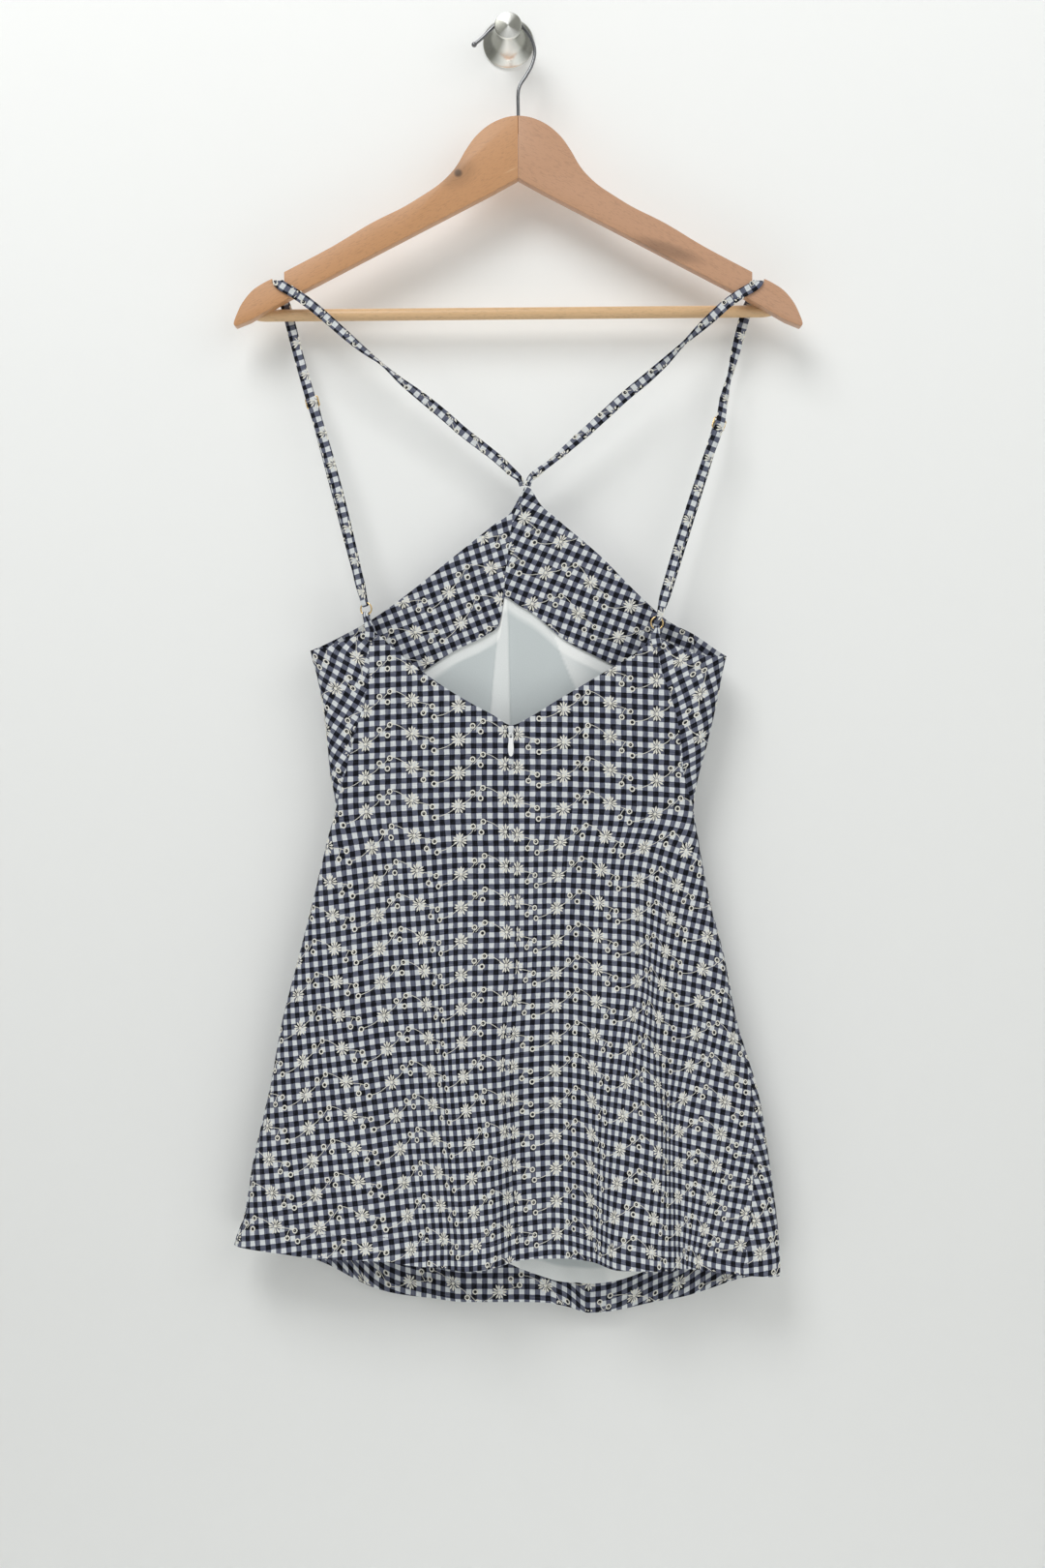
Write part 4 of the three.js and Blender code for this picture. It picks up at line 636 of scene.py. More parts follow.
def check_cotton():
    """Yarn-dyed check cotton, plain woven: white, navy where dark warp and weft cross, and a
    grey blue where they meet white ones. Matt, with uneven threads that show in the half tones.
    A real thread is 0.35 mm wide; the threads are drawn about 0.9 mm wide so that they show."""
    material, tree, surface = finish("yarn_dyed_check_cotton", "#8a8d9c", 0.9,
                                     Specular_IOR_Level=0.25)
    in_cloth = node(tree, "UVMap")
    wobble = node(tree, "TexNoise", {"Vector": in_cloth}, Scale=260.0, Detail=2.0)
    shift = node(tree, "VectorMath", [wobble.outputs["Color"], (0.5, 0.5, 0.5)],
                 operation="SUBTRACT")
    small = node(tree, "VectorMath", {0: shift, "Scale": 0.9 * MM}, operation="SCALE")
    moved_cloth = node(tree, "VectorMath", [in_cloth, small], operation="ADD")
    axes = node(tree, "SeparateXYZ", [moved_cloth])
    stripes, threads = [], []
    for axis, start, fine in zip("XY", CHECK_START, ((1150, 70, 1), (70, 1150, 1))):
        counted = node(tree, "Math", [axes.outputs[axis], 1 / (CHECK * MM),
                                      -start / CHECK + 0.5 + 200], operation="MULTIPLY_ADD")
        within = node(tree, "Math", [counted], operation="FRACT")
        aside = node(tree, "Math", [within, 0.5], operation="SUBTRACT")
        away = node(tree, "Math", [aside], operation="ABSOLUTE")
        dark = node(tree, "MapRange", [away], interpolation_type="SMOOTHSTEP", From_Min=0.272,
                    From_Max=0.238)
        thread = streaks(tree, in_cloth, fine, 1.0)
        uneven = node(tree, "MapRange", [thread], From_Min=0.3, From_Max=0.7, To_Min=0.86,
                      To_Max=1.14)
        stripes.append(node(tree, "Math", [dark, uneven], operation="MULTIPLY"))
        threads.append(thread)
    both = node(tree, "Math", stripes, operation="ADD")
    share = node(tree, "Math", [both, 0.5], operation="MULTIPLY")
    tones = toned(node(tree, "ValToRGB", [share]), "#d1d5d7", "#585c6e", "#04060f")
    weave = node(tree, "Math", threads, operation="ADD")
    lit = node(tree, "MapRange", [weave], From_Min=0.6, From_Max=1.4, To_Min=0.84, To_Max=1.1)
    feed(surface, "Base Color",
         node(tree, "VectorMath", {0: tones, "Scale": lit}, operation="SCALE"))
    feed(surface, "Normal", node(tree, "Bump", {"Height": weave}, Strength=0.4, Distance=0.25 * MM))
    return material


def voile():
    """White cotton voile: thin and matt. One layer is greyed by the dark cloth behind it, and
    where it lies double it is whiter. Its hem is painted whiter too, as painted light. An
    attribute says where."""
    material, tree, surface = finish("white_cotton_voile", "#c4cacb", 0.92,
                                     Sheen_Weight=0.1, Sheen_Roughness=0.6)
    layers_and_painted_light = node(tree, "Attribute", attribute_name="layers_and_painted_light").outputs["Fac"]
    tones = toned(node(tree, "ValToRGB", [layers_and_painted_light]), "#c3cacb", "#f0f2f1")
    thread = node(tree, "TexNoise", {"Vector": node(tree, "UVMap")}, Scale=1100.0, Detail=2.0)
    lit = node(tree, "MapRange", [thread], To_Min=0.94, To_Max=1.06)
    feed(surface, "Base Color",
         node(tree, "VectorMath", {0: tones, "Scale": lit}, operation="SCALE"))
    feed(surface, "Normal",
         node(tree, "Bump", {"Height": thread}, Strength=0.25, Distance=0.2 * MM))
    return material


def beech(name, slope, pale, deep, knot=None, streak=None):
    """Lacquered wood with its fibres along the piece: warm, with slow bands of figure, short
    dark flecks and a soft satin gloss. slope is the fall of the fibres in degrees. A knot and a
    dark streak are given by their places in millimetres."""
    material, tree, surface = finish(name, pale, 0.42, Coat_Weight=0.25, Coat_Roughness=0.3)
    here = node(tree, "TexCoord").outputs["Object"]
    along_wood = node(tree, "Mapping", {"Vector": here}, Rotation=(0, math.radians(slope), 0))
    if knot:
        offset = node(tree, "VectorMath", [here, [c * MM for c in knot]], operation="DISTANCE")
        near_knot = node(tree, "MapRange", [offset.outputs["Value"]],
                         interpolation_type="SMOOTHSTEP", From_Min=20 * MM, From_Max=0,
                         To_Max=9 * MM)
        pushed = node(tree, "CombineXYZ", {"Z": near_knot})
        along_wood = node(tree, "VectorMath", [along_wood, pushed], operation="ADD")
    grains = (((3.6, 9, 84), 3.0), ((26, 300, 700), 2.0), ((240, 300, 1700), 0.0))
    slow, fine, flecks = (
        streaks(tree, along_wood, stretch, detail, 0.7) for stretch, detail in grains)
    figure = node(tree, "Math", [slow, fine, fine], operation="MULTIPLY_ADD")
    depth = node(tree, "MapRange", [figure], From_Min=1.14, From_Max=1.54)
    wood = toned(node(tree, "ValToRGB", [depth]), deep, pale)
    shade = node(tree, "MapRange", [flecks], From_Min=0.3, From_Max=0.42, To_Min=0.86)
    spots = []
    if knot:
        spots += [(knot, (1, 1, 1), 1.7, 4.4, 0.3), (knot, (0.7, 1, 1), 4.0, 15.0, 0.78)]
    if streak:
        spots.append((streak, (0.3, 1, 1.5), 3.0, 12.0, 0.62))
    for middle, shape, core, edge, dark in spots:
        from_spot = node(tree, "Mapping", {"Vector": here}, vector_type="TEXTURE",
                         Location=[c * MM for c in middle],
                         Rotation=(0, math.radians(-slope - 8), 0))
        squeezed = node(tree, "VectorMath", [from_spot, shape], operation="MULTIPLY")
        size = node(tree, "VectorMath", [squeezed], operation="LENGTH")
        spot = node(tree, "MapRange", [size.outputs["Value"]], interpolation_type="SMOOTHSTEP",
                    From_Min=core * MM, From_Max=edge * MM, To_Min=dark)
        shade = node(tree, "Math", [shade, spot], operation="MULTIPLY")
    feed(surface, "Base Color",
         node(tree, "VectorMath", {0: wood, "Scale": shade}, operation="SCALE"))
    feed(surface, "Normal", node(tree, "Bump", {"Height": fine}, Strength=0.12, Distance=0.3 * MM))
    return material


def metal(name, base, roughness, scratch):
    """A metal with fine marks. scratch is how strongly they change its gloss."""
    material, tree, surface = finish(name, base, roughness, Metallic=1.0)
    marks = streaks(tree, node(tree, "TexCoord").outputs["Object"], (900, 900, 900), 2.0)
    gloss = node(tree, "MapRange", [marks], To_Min=max(0.05, roughness - scratch),
                 To_Max=roughness + scratch)
    feed(surface, "Roughness", gloss)
    feed(surface, "Normal", node(tree, "Bump", {"Height": marks}, Strength=0.06, Distance=0.1 * MM))
    return material


def turned_steel():
    """Stainless steel faced on a lathe, with fine rings round its middle as a bump. Its highlights
    are painted into its colour as bright and dark wedges round its middle: painted reflection."""
    material, tree, surface = finish("turned_satin_stainless_steel", "#d4d4cd", 0.27, Metallic=1.0)
    parts = node(tree, "SeparateXYZ", [node(tree, "TexCoord").outputs["Object"]])
    across, up = parts.outputs["X"], parts.outputs["Z"]
    # Painted reflection: the angle round the middle sets bright and dark wedges in the colour
    angle = node(tree, "Math", [across, up], operation="ARCTAN2")
    doubled_angle = node(tree, "Math", [angle, 2.0, 0.3], operation="MULTIPLY_ADD")
    painted_reflection_wedge = node(tree, "Math", [doubled_angle], operation="COSINE")
    narrow = node(tree, "MapRange", [painted_reflection_wedge], From_Min=-0.35, From_Max=0.85)
    feed(surface, "Base Color", toned(node(tree, "ValToRGB", [narrow]), "#9a9a92", "#fafaf6"))
    radius = node(tree, "VectorMath", [node(tree, "CombineXYZ", [across, up])], operation="LENGTH")
    drawn = node(tree, "Math", [radius.outputs["Value"], 4000.0], operation="MULTIPLY")
    rings = node(tree, "TexNoise", {"W": drawn}, noise_dimensions="1D", Scale=1.0, Detail=1.0)
    feed(surface, "Normal", node(tree, "Bump", {"Height": rings}, Strength=0.1, Distance=0.1 * MM))
    return material


def studio_wall():
    """Matt painted plaster. Seen from behind it isn't there, so that views from the wall's side
    show the dress."""
    material, tree, surface = finish("matt_painted_plaster", "#eff0ef", 0.92)
    here = node(tree, "TexCoord").outputs["Object"]
    grain = node(tree, "TexNoise", {"Vector": here}, Scale=420.0, Detail=3.0)
    feed(surface, "Normal", node(tree, "Bump", {"Height": grain}, Strength=0.05, Distance=0.4 * MM))
    # Painted light: the wall is painted paler towards the top, as if lit from above, and darker
    # towards the bottom
    height = node(tree, "SeparateXYZ", [here]).outputs["Z"]
    painted_light_from_above = node(tree, "MapRange", [height], From_Min=-1.0, From_Max=0.05)
    feed(surface, "Base Color", toned(node(tree, "ValToRGB", [painted_light_from_above]), "#e2e3e2", "#f6f7f6"))
    side_seen = node(tree, "NewGeometry").outputs["Backfacing"]
    either = node(tree, "MixShader", [side_seen, surface, node(tree, "BsdfTransparent")])
    feed(tree.nodes["Material Output"], "Surface", either)
    return material


def plain(name, base, roughness, **shader):
    return finish(name, base, roughness, **shader)[0]


COTTON_CHECK = check_cotton()
LINING_VOILE = voile()
# Cream cotton floss in satin stitch: soft, with a low sheen
EMBROIDERY_COTTON = plain("cream_cotton_floss", "#e0ded4", 0.62, Sheen_Weight=0.15)
# What shows through an eyelet: the navy inside of the dress, dark as painted shade
EYELET_SHADOW = plain("shaded_navy_cotton", "#17181f", 0.9)
# Polyester sewing thread, navy, with a slight gloss
SEWING_THREAD = plain("navy_polyester_thread", "#3a3e50", 0.5, Sheen_Weight=0.1)
# Pale gold plate on zinc: bright and smooth, a little uneven from wear
GOLD_PLATE = metal("pale_gold_plate", "#e3c48b", 0.24, 0.06)
# Zinc-plated drawn wire: grey, bright along its length
HOOK_STEEL = metal("zinc_plated_steel_wire", "#77787a", 0.2, 0.06)
KNOB_STEEL = turned_steel()
# White enamel baked on a zip's pull: smooth and glossy, and a duller cast slider under it
PULL_ENAMEL = plain("white_baked_enamel", "#f1f2f2", 0.28, Coat_Weight=0.3)
SLIDER_ENAMEL = plain("grey_white_baked_enamel", "#d5d8d9", 0.38, Coat_Weight=0.15)
ARM_WOOD = {
    "left": beech("lacquered_beech_left", 27, "#eccda8", "#c08e62", knot=(-39.2, -41, -115.5)),
    "right": beech("lacquered_beech_right", -27, "#ecd0b2", "#bc9070", streak=(125, -41, -176)),
}
BAR_WOOD = beech("lacquered_ramin_dowel", -0.5, "#edd6ae", "#d5b084")


def wear(piece, *materials):
    piece.data.materials.clear()
    for material in materials:
        piece.data.materials.append(material)
    return piece


def keep(piece, body="garment", replaced=()):
    """A finished piece rides on its body and stands for its nodes"""
    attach(piece, body)
    if replaced:
        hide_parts(*replaced)
    return piece


def declare(piece, node_name, slot, grid, held, *sewn_on):
    """Says what a cloth piece stands for: it rides on the garment in place of its node. The size
    that it was cut to and what is sewn on it are not used.
    """
    keep(piece, replaced=[node_name])


# Embroidery
# One repeat is charted one by one: two daisies and two groups of three eyelets, joined by stems.
# Its places are given from the first daisy, across and up the cloth.
REPEAT_ACROSS = 73.0
REPEAT_UP = 26.1
DAISIES = [(0, 0), (36.5, -6)]
EYELETS = [(15.9, -5.5), (9.0, -10.4), (17.3, -13.9), (55.6, 7.9), (47.5, 4.4), (53.8, -0.2)]
STEMS = [
    [(3.5, -1.5), (8.5, -2.5), (12.5, -3.2), (15.9, -5.5)],
    [(12.0, -3.1), (10.6, -5.5), (8.6, -7.6), (9.0, -10.4)],
    [(19.5, -13.2), (25.0, -12.6), (29.0, -11.0), (33.5, -7.5)],
    [(39.5, -4.0), (44.0, -2.5), (48.5, 1.0), (47.5, 4.4)],
    [(48.4, 0.8), (51.0, 3.5), (53.0, 6.5), (55.6, 7.9)],
    [(58.0, 8.5), (62.5, 7.5), (66.5, 4.5), (70.0, 1.8)],
]
PETALS = 12
PETAL_REACH = 6.1
EYELET_RADIUS = 1.75
EYELET_WALL = 0.55
STEM_WIDTH = 0.5
STITCH_HEIGHT = 0.38
REPEAT_REACH = 46.0  # from the middle of a repeat to past its farthest stitch
COARSE = 6  # a first look over a panel's grid takes every sixth place
THREAD, HOLE = 0, 1  # the slots of the embroidery's two materials


def shape_of(piece):
    """Takes a small model apart into its places in millimetres and its faces, and removes it"""
    places = np.array([tuple(v.co) for v in piece.data.vertices])
    faces = [tuple(f.vertices) for f in piece.data.polygons]
    bpy.data.objects.remove(piece)
    return places, faces


def petal():
    """A slim petal of satin stitch: a long low pyramid, widest near its tip"""
    places, faces = shape_of(primitive(
        bpy.ops.mesh.primitive_cone_add, "petal", vertices=4, radius1=1, radius2=0, depth=1,
        end_fill_type="NOTHING"))
    along = (places[:, 0] + 1) / 2
    tip = places[:, 2] > 0
    along[tip] = 0.62
    along[~tip & (abs(places[:, 1]) > 0.5)] = 0.68
    x = mix(0.8, PETAL_REACH, along)
    return np.stack([x, places[:, 1] * 0.74, tip * STITCH_HEIGHT], axis=1), faces


def joined(parts):
    """Parts, each with its places, its faces and the slot of each face, as one part"""
    places, faces, slots = [], [], []
    base = 0
    for part_places, part_faces, part_slots in parts:
        places.append(part_places)
        faces += [tuple(v + base for v in f) for f in part_faces]
        slots += part_slots
        base += len(part_places)
    return np.vstack(places), faces, slots


def daisy():
    """Petals, a little uneven, round a low raised middle"""
    places, faces = petal()
    parts = []
    for k in range(PETALS):
        uneven = 1 + 0.06 * math.sin(2.6 * k)
        angle = 2 * math.pi * (k + 0.12 * math.sin(4.1 * k)) / PETALS
        c, s = math.cos(angle), math.sin(angle)
        x, y = places[:, 0] * uneven, places[:, 1]
        laid = np.stack([x * c - y * s, x * s + y * c, places[:, 2]], axis=1)
        parts.append((laid, faces, [THREAD] * len(faces)))
    centre, centre_faces = shape_of(primitive(
        bpy.ops.mesh.primitive_cone_add, "centre", vertices=7, radius1=1.25, radius2=0.5, depth=1,
        end_fill_type="TRIFAN"))
    centre[:, 2] = (centre[:, 2] + 0.5) * STITCH_HEIGHT * 1.2
    kept = [f for f in centre_faces if not all(centre[v, 2] < 0.01 for v in f)]
    return joined(parts + [(centre, kept, [THREAD] * len(kept))])


def eyelet():
    """A worked eyelet: a low ring of stitches round a dark disc, painted shade in its hole"""
    ring, ring_faces = shape_of(primitive(
        bpy.ops.mesh.primitive_torus_add, "eyelet", major_segments=9, minor_segments=4,
        major_radius=EYELET_RADIUS, minor_radius=EYELET_WALL))
    ring[:, 2] = np.maximum(ring[:, 2], -0.05) * STITCH_HEIGHT / EYELET_WALL
    hole, hole_faces = shape_of(primitive(
        bpy.ops.mesh.primitive_circle_add, "hole", vertices=9,
        radius=EYELET_RADIUS - 0.45 * EYELET_WALL, fill_type="NGON"))
    hole[:, 2] = 0.08
    return joined([(ring, ring_faces, [THREAD] * len(ring_faces)), (hole, hole_faces, [HOLE])])


def curve_points(controls, steps):
    """Places along a smooth cubic curve"""
    a, b, c, d = (np.array(p, float) for p in controls)
    t = np.linspace(0, 1, steps + 1)[:, None]
    return (1 - t) ** 3 * a + 3 * t * (1 - t) ** 2 * b + 3 * t * t * (1 - t) * c + t ** 3 * d


def stem(controls):
    """A stem in outline stitch, as a low ridge"""
    line = curve_points(controls, 6)
    run = np.gradient(line, axis=0)
    aside = np.stack([-run[:, 1], run[:, 0]], axis=1)
    aside *= STEM_WIDTH / 2 / np.linalg.norm(aside, axis=1, keepdims=True)
    flat = np.zeros((len(line), 1))
    places = np.vstack([np.hstack([line + aside, flat]), np.hstack([line, flat + 0.35]),
                        np.hstack([line - aside, flat])])
    n = len(line)
    faces = [(r * n + k, (r + 1) * n + k, (r + 1) * n + k + 1, r * n + k + 1)
             for r in (0, 1) for k in range(n - 1)]
    return places, faces, [THREAD] * len(faces)


def moved(part, across, up):
    places, faces, slots = part
    return places + [across, up, 0], faces, slots


FLOWER, RING_OF_STITCHES = daisy(), eyelet()
REPEAT = joined(
    [moved(FLOWER, *at) for at in DAISIES] + [moved(RING_OF_STITCHES, *at) for at in EYELETS]
    + [stem(line) for line in STEMS])


def between(values, i, j):
    """Reads a grid of values between its places"""
    a = np.clip(np.floor(i).astype(int), 0, values.shape[0] - 2)
    b = np.clip(np.floor(j).astype(int), 0, values.shape[1] - 2)
    s, t = (i - a)[:, None], (j - b)[:, None]
    lower = mix(values[a, b], values[a + 1, b], s)
    upper = mix(values[a, b + 1], values[a + 1, b + 1], s)
    return mix(lower, upper, t)


def find_on_grid(fabric, spots):
    """The grid positions of places of the flat cloth, and whether they lie on the panel"""
    thin = fabric[::COARSE, ::COARSE]
    nodes = thin.reshape(-1, 2)
    nearest = np.concatenate([
        np.argmin(((part[:, None, :] - nodes[None]) ** 2).sum(axis=2), axis=1)
        for part in np.array_split(spots, max(1, len(spots) // 4000))])
    i = float(COARSE) * (nearest // thin.shape[1])
    j = float(COARSE) * (nearest % thin.shape[1])
    columns, rows = fabric.shape[0] - 1, fabric.shape[1] - 1
    for _ in range(12):
        here = between(fabric, i, j)
        by_i = between(fabric, i + 0.5, j) - between(fabric, i - 0.5, j)
        by_j = between(fabric, i, j + 0.5) - between(fabric, i, j - 0.5)
        miss = spots - here
        area = by_i[:, 0] * by_j[:, 1] - by_i[:, 1] * by_j[:, 0]
        area = np.where(abs(area) < 1e-6, 1e-6, area)
        i = i + np.clip((miss[:, 0] * by_j[:, 1] - miss[:, 1] * by_j[:, 0]) / area, -8, 8)
        j = j + np.clip((miss[:, 1] * by_i[:, 0] - miss[:, 0] * by_i[:, 1]) / area, -8, 8)
        i, j = np.clip(i, -3, columns + 3), np.clip(j, -3, rows + 3)
    miss = np.linalg.norm(spots - between(fabric, i, j), axis=1)
    on_panel = (i > 0.1) & (i < columns - 0.1) & (j > 0.1) & (j < rows - 0.1) & (miss < 0.3)
    return i, j, on_panel


def on_cloth(grid, i, j, heights):
    """Places at heights over a panel's outer side"""
    out = facing_way(grid["laid"])
    if grid.get("turned over"):
        out = -out
    return between(grid["laid"], i, j) + unit(between(out, i, j)) * (COTTON / 2 + heights)[:, None]


def embroider(name, grid, daisy_at):
    """Lays the embroidery's repeats over a panel, with one daisy at the given place of the flat
    cloth, and leaves out what its seams and edges cut away"""
    fabric = grid["fabric"]
    low, high = fabric.min(axis=(0, 1)), fabric.max(axis=(0, 1))
    step = np.array([REPEAT_ACROSS, REPEAT_UP])
    first = np.floor((low - daisy_at) / step).astype(int) - 1
    last = np.ceil((high - daisy_at) / step).astype(int) + 1
    starts = np.array([daisy_at + step * (m, n)
                       for m in range(first[0], last[0]) for n in range(first[1], last[1])])
    middles = starts + [REPEAT_ACROSS / 2, -3]
    nodes = fabric[::COARSE, ::COARSE].reshape(-1, 2)
    reach = np.min(np.linalg.norm(middles[:, None] - nodes[None], axis=2), axis=1)
    starts = starts[reach < REPEAT_REACH]
    places, faces, slots = REPEAT
    spots = (starts[:, None, :] + places[None, :, :2]).reshape(-1, 2)
    i, j, on_panel = find_on_grid(fabric, spots)
    spots_3d = on_cloth(grid, i, j, np.tile(places[:, 2], len(starts)))
    kept_faces, kept_slots = [], []
    for repeat in range(len(starts)):
        base = repeat * len(places)
        for face, slot in zip(faces, slots):
            corners = [v + base for v in face]
            if on_panel[corners].all():
                kept_faces.append(corners)
                kept_slots.append(slot)
    used = np.unique(np.concatenate(kept_faces))
    renumber = np.full(len(spots), -1)
    renumber[used] = np.arange(len(used))
    piece = forms(name, spots_3d[used], [renumber[f].tolist() for f in kept_faces])
    select_only(piece)
    smooth_faces(35)
    wear(piece, EMBROIDERY_COTTON, EYELET_SHADOW)
    piece.data.polygons.foreach_set("material_index", kept_slots)
    return keep(piece)


# Straps, ring tabs and the other swept pieces
STRAPS = {
    "left": table("x y z lean turn width", [
        (10.9, -31.3, -359.8, 0, 0, 4.2), (9.4, -31.4, -354.8, 18, 5, 5),
        (3.2, -31.6, -349.0, 45, 12, 7), (-11.6, -32.5, -335.8, 50, 15, 8),
        (-32.5, -33.7, -320.0, 51, 5, 8), (-54.9, -35.0, -300.9, 50, 0, 8),
        (-70.9, -36.0, -288.3, 51, 20, 8), (-85.2, -36.8, -277.2, 51, 50, 8),
        (-99.7, -37.7, -264.6, 50, 74, 8), (-112.4, -38.5, -255.1, 49, 50, 8),
        (-128.4, -39.7, -241.7, 47, 24, 8), (-144.2, -41.0, -227.9, 47, 10, 8),
        (-157.0, -42.1, -217.5, 46, 0, 8), (-169.7, -42.5, -208.9, 38, 0, 8),
        (-177.6, -42.5, -204.2, 20, 0, 8), (-180.4, -42.1, -201.6, 4, 0, 8),
        (-180.6, -40.9, -200.5, 0, 0, 8), (-180.6, -35.0, -200.4, 0, 0, 8),
        (-180.6, -29.1, -200.5, 0, 0, 8), (-180.6, -27.9, -201.6, 0, 0, 8),
        (-179.6, -26.2, -207.0, 4, 0, 8), (-176.4, -19.0, -217.0, 7, 0, 8),
        (-174.6, -17.9, -223.7, 9, 0, 8), (-172.9, -18.2, -230.5, 11, 0, 8),
        (-166.9, -20.0, -254.0, 14, 12, 8), (-161.0, -22.0, -275.0, 15, 8, 8),
    ]),
    "right": table("x y z lean turn width", [
        (15.5, -31.3, -359.8, 0, 0, 4.2), (17.0, -31.4, -354.8, -18, -5, 5),
        (21.6, -31.7, -350.2, -42, -30, 7), (34.6, -32.3, -340.6, -49, -52, 8),
        (47.5, -33.2, -329.5, -49, -30, 8), (60.3, -34.0, -318.5, -49, -16, 8),
        (76.3, -35.2, -304.2, -48, 0, 8), (92.3, -36.3, -289.6, -48, 4, 8),
        (108.3, -37.2, -276.6, -49, 14, 8), (124.2, -38.2, -262.4, -48, 44, 8),
        (138.2, -39.3, -248.6, -46, 76, 8), (148.1, -40.0, -239.4, -45, 52, 8),
        (160.8, -41.0, -228.0, -44, 16, 8), (172.0, -42.1, -218.0, -42, 0, 8),
        (184.7, -42.5, -209.3, -36, 0, 8), (193.3, -42.5, -204.3, -20, 0, 8),
        (196.2, -42.1, -201.6, -4, 0, 8), (196.4, -40.9, -200.5, 0, 0, 8),
        (196.4, -35.0, -200.4, 0, 0, 8), (196.4, -29.1, -200.5, 0, 0, 8),
        (196.4, -27.9, -201.6, 0, 0, 8), (195.2, -25.6, -206.5, -5, 0, 8),
        (191.2, -18.6, -214.4, -8, 0, 8), (189.0, -17.9, -220.5, -12, 0, 8),
        (187.0, -18.3, -227.5, -13, 0, 8), (180.8, -20.0, -251.0, -16, -24, 8),
        (175.4, -21.6, -272.0, -15, -62, 8), (170.9, -23.2, -290.0, -14, -30, 8),
    ]),
}
SLIDERS = {"left": (-154.9, -27, -293.1, 10), "right": (166.7, -28, -310.3, -18)}
RINGS = {"left": (-111.2, -44.5, -457.9, 24), "right": (116.6, -44.5, -468.9, 0)}
SLIDER_WIDTH = 11.2
SLIDER_HEIGHT = 9.2
SLIDER_WIRE = 1.1
SLIDER_CORNER = 1.2
RING_WIRE = 0.6
STRAP_OFF_RING = 1.6  # from the middle of the ring's wire to the middle of the cloth round it
STRAP_OFF_BAR = 1.45  # and the same at the slider's middle bar
SEWN_END = 1.6
# Where the straps' cloth was cut, as a place in the cloth for the middle of each strap's face
STRAP_CUT = {"left": (0.9, -553.6), "right": (1.6, -566.0)}


def finer(rows, steps):
    """Rows between a table's rows, evenly shared along its length"""
    places = np.stack([rows[c] for c in "xyz"], axis=1)
    reached = np.concatenate([[0], np.cumsum(np.linalg.norm(np.diff(places, axis=0), axis=1))])
    counted = np.arange(0, len(reached) - 1 + 1e-9, 1 / steps)
    at = np.interp(counted, np.arange(len(reached)), reached)
    return {c: track({**rows, "reached": reached}, "reached", c, at) for c in rows}


def width_way(run, lean, turn):
    """The way a strip's width points: lean tips it up from X, and turn twists it about its run"""
    lean, turn = np.radians(lean)[:, None], np.radians(turn)[:, None]
    flat = np.hstack([np.cos(lean), 0 * lean, np.sin(lean)])
    run = unit(run)
    return (flat * np.cos(turn) + np.cross(run, flat) * np.sin(turn)
            + run * (run * flat).sum(axis=1, keepdims=True) * (1 - np.cos(turn)))


def stations(centre, across, width):
    """Stations of a strip: each has its centre, the way its width points, and its width"""
    centre = np.atleast_2d(centre)
    across = np.broadcast_to(across, centre.shape)
    return np.hstack([centre, across, np.broadcast_to(width, len(centre))[:, None]])


def swept(name, strip, thickness, section, closed=False, cut=None, smooth_below=50):
    """Sweeps a section along stations. The section is given in halves of the width and of the
    thickness, and starts at the middle of the strip's hidden side. cut is the place in the flat
    cloth that a strip was cut from, a little off the straight. Returns the piece and its grid,
    whose place in the cloth runs round the section and along the strip."""
    centre, across, width = strip[:, :3], strip[:, 3:6], strip[:, 6:7]
    if closed:
        centre, across, width = (np.vstack([a, a[:1]]) for a in (centre, across, width))
        run = unit(np.roll(centre[:-1], -1, axis=0) - np.roll(centre[:-1], 1, axis=0))
        run = np.vstack([run, run[:1]])
    else:
        run = unit(np.gradient(centre, axis=0))
    across = unit(across - run * (across * run).sum(axis=1, keepdims=True))
    through = np.cross(run, across)
    ring = np.array(section + section[:1])
    points = (centre + across * width / 2 * ring[:, :1, None]
              + through * thickness / 2 * ring[:, 1:, None])
    round_it = np.linalg.norm(np.diff(points, axis=0), axis=-1)
    around = np.vstack([np.zeros(points.shape[1]), np.cumsum(round_it, axis=0)])
    along = np.concatenate([[0], np.cumsum(np.linalg.norm(np.diff(centre, axis=0), axis=1))])
    fabric = np.stack([around[-1:] / 2 - around, along + 0 * around], axis=-1)
    if cut:
        fabric = fabric + cut
        fabric[..., 0] += 0.9 * np.sin(along / 52 + cut[0])
    piece, _, _ = laid_grid(name, points, fabric)
    bpy.ops.object.mode_set(mode="EDIT")
    bpy.ops.mesh.select_all(action="SELECT")
    bpy.ops.mesh.remove_doubles(threshold=0.005 * MM)
    bpy.ops.mesh.fill_holes(sides=0)
    face_outwards()
    smooth_faces(smooth_below)
    return piece, {"laid": points, "fabric": fabric, "along": along, "z": points[..., 2],
                   "turned over": True}


STRIP_SECTION = [(0, -1), (-0.5, -1), (-0.84, -0.96), (-0.96, -0.62), (-1, 0), (-0.96, 0.62),
                 (-0.84, 0.96), (-0.5, 1), (0, 1), (0.5, 1), (0.84, 0.96), (0.96, 0.62), (1, 0),
                 (0.96, -0.62), (0.84, -0.96), (0.5, -1)]


def round_section(sides):
    turn = -math.pi / 2 - 2 * math.pi * np.arange(sides) / sides
    return [(math.cos(a), math.sin(a)) for a in turn]


def level_way(turn):
    """The level way that X points after a turn about the upright, in degrees"""
    return np.array([math.cos(math.radians(turn)), -math.sin(math.radians(turn)), 0])


def ring_frame(side):
    x, y, z, turn = RINGS[side]
    return np.array([x, y, z], float), level_way(turn), np.array([0, 0, 1.0])


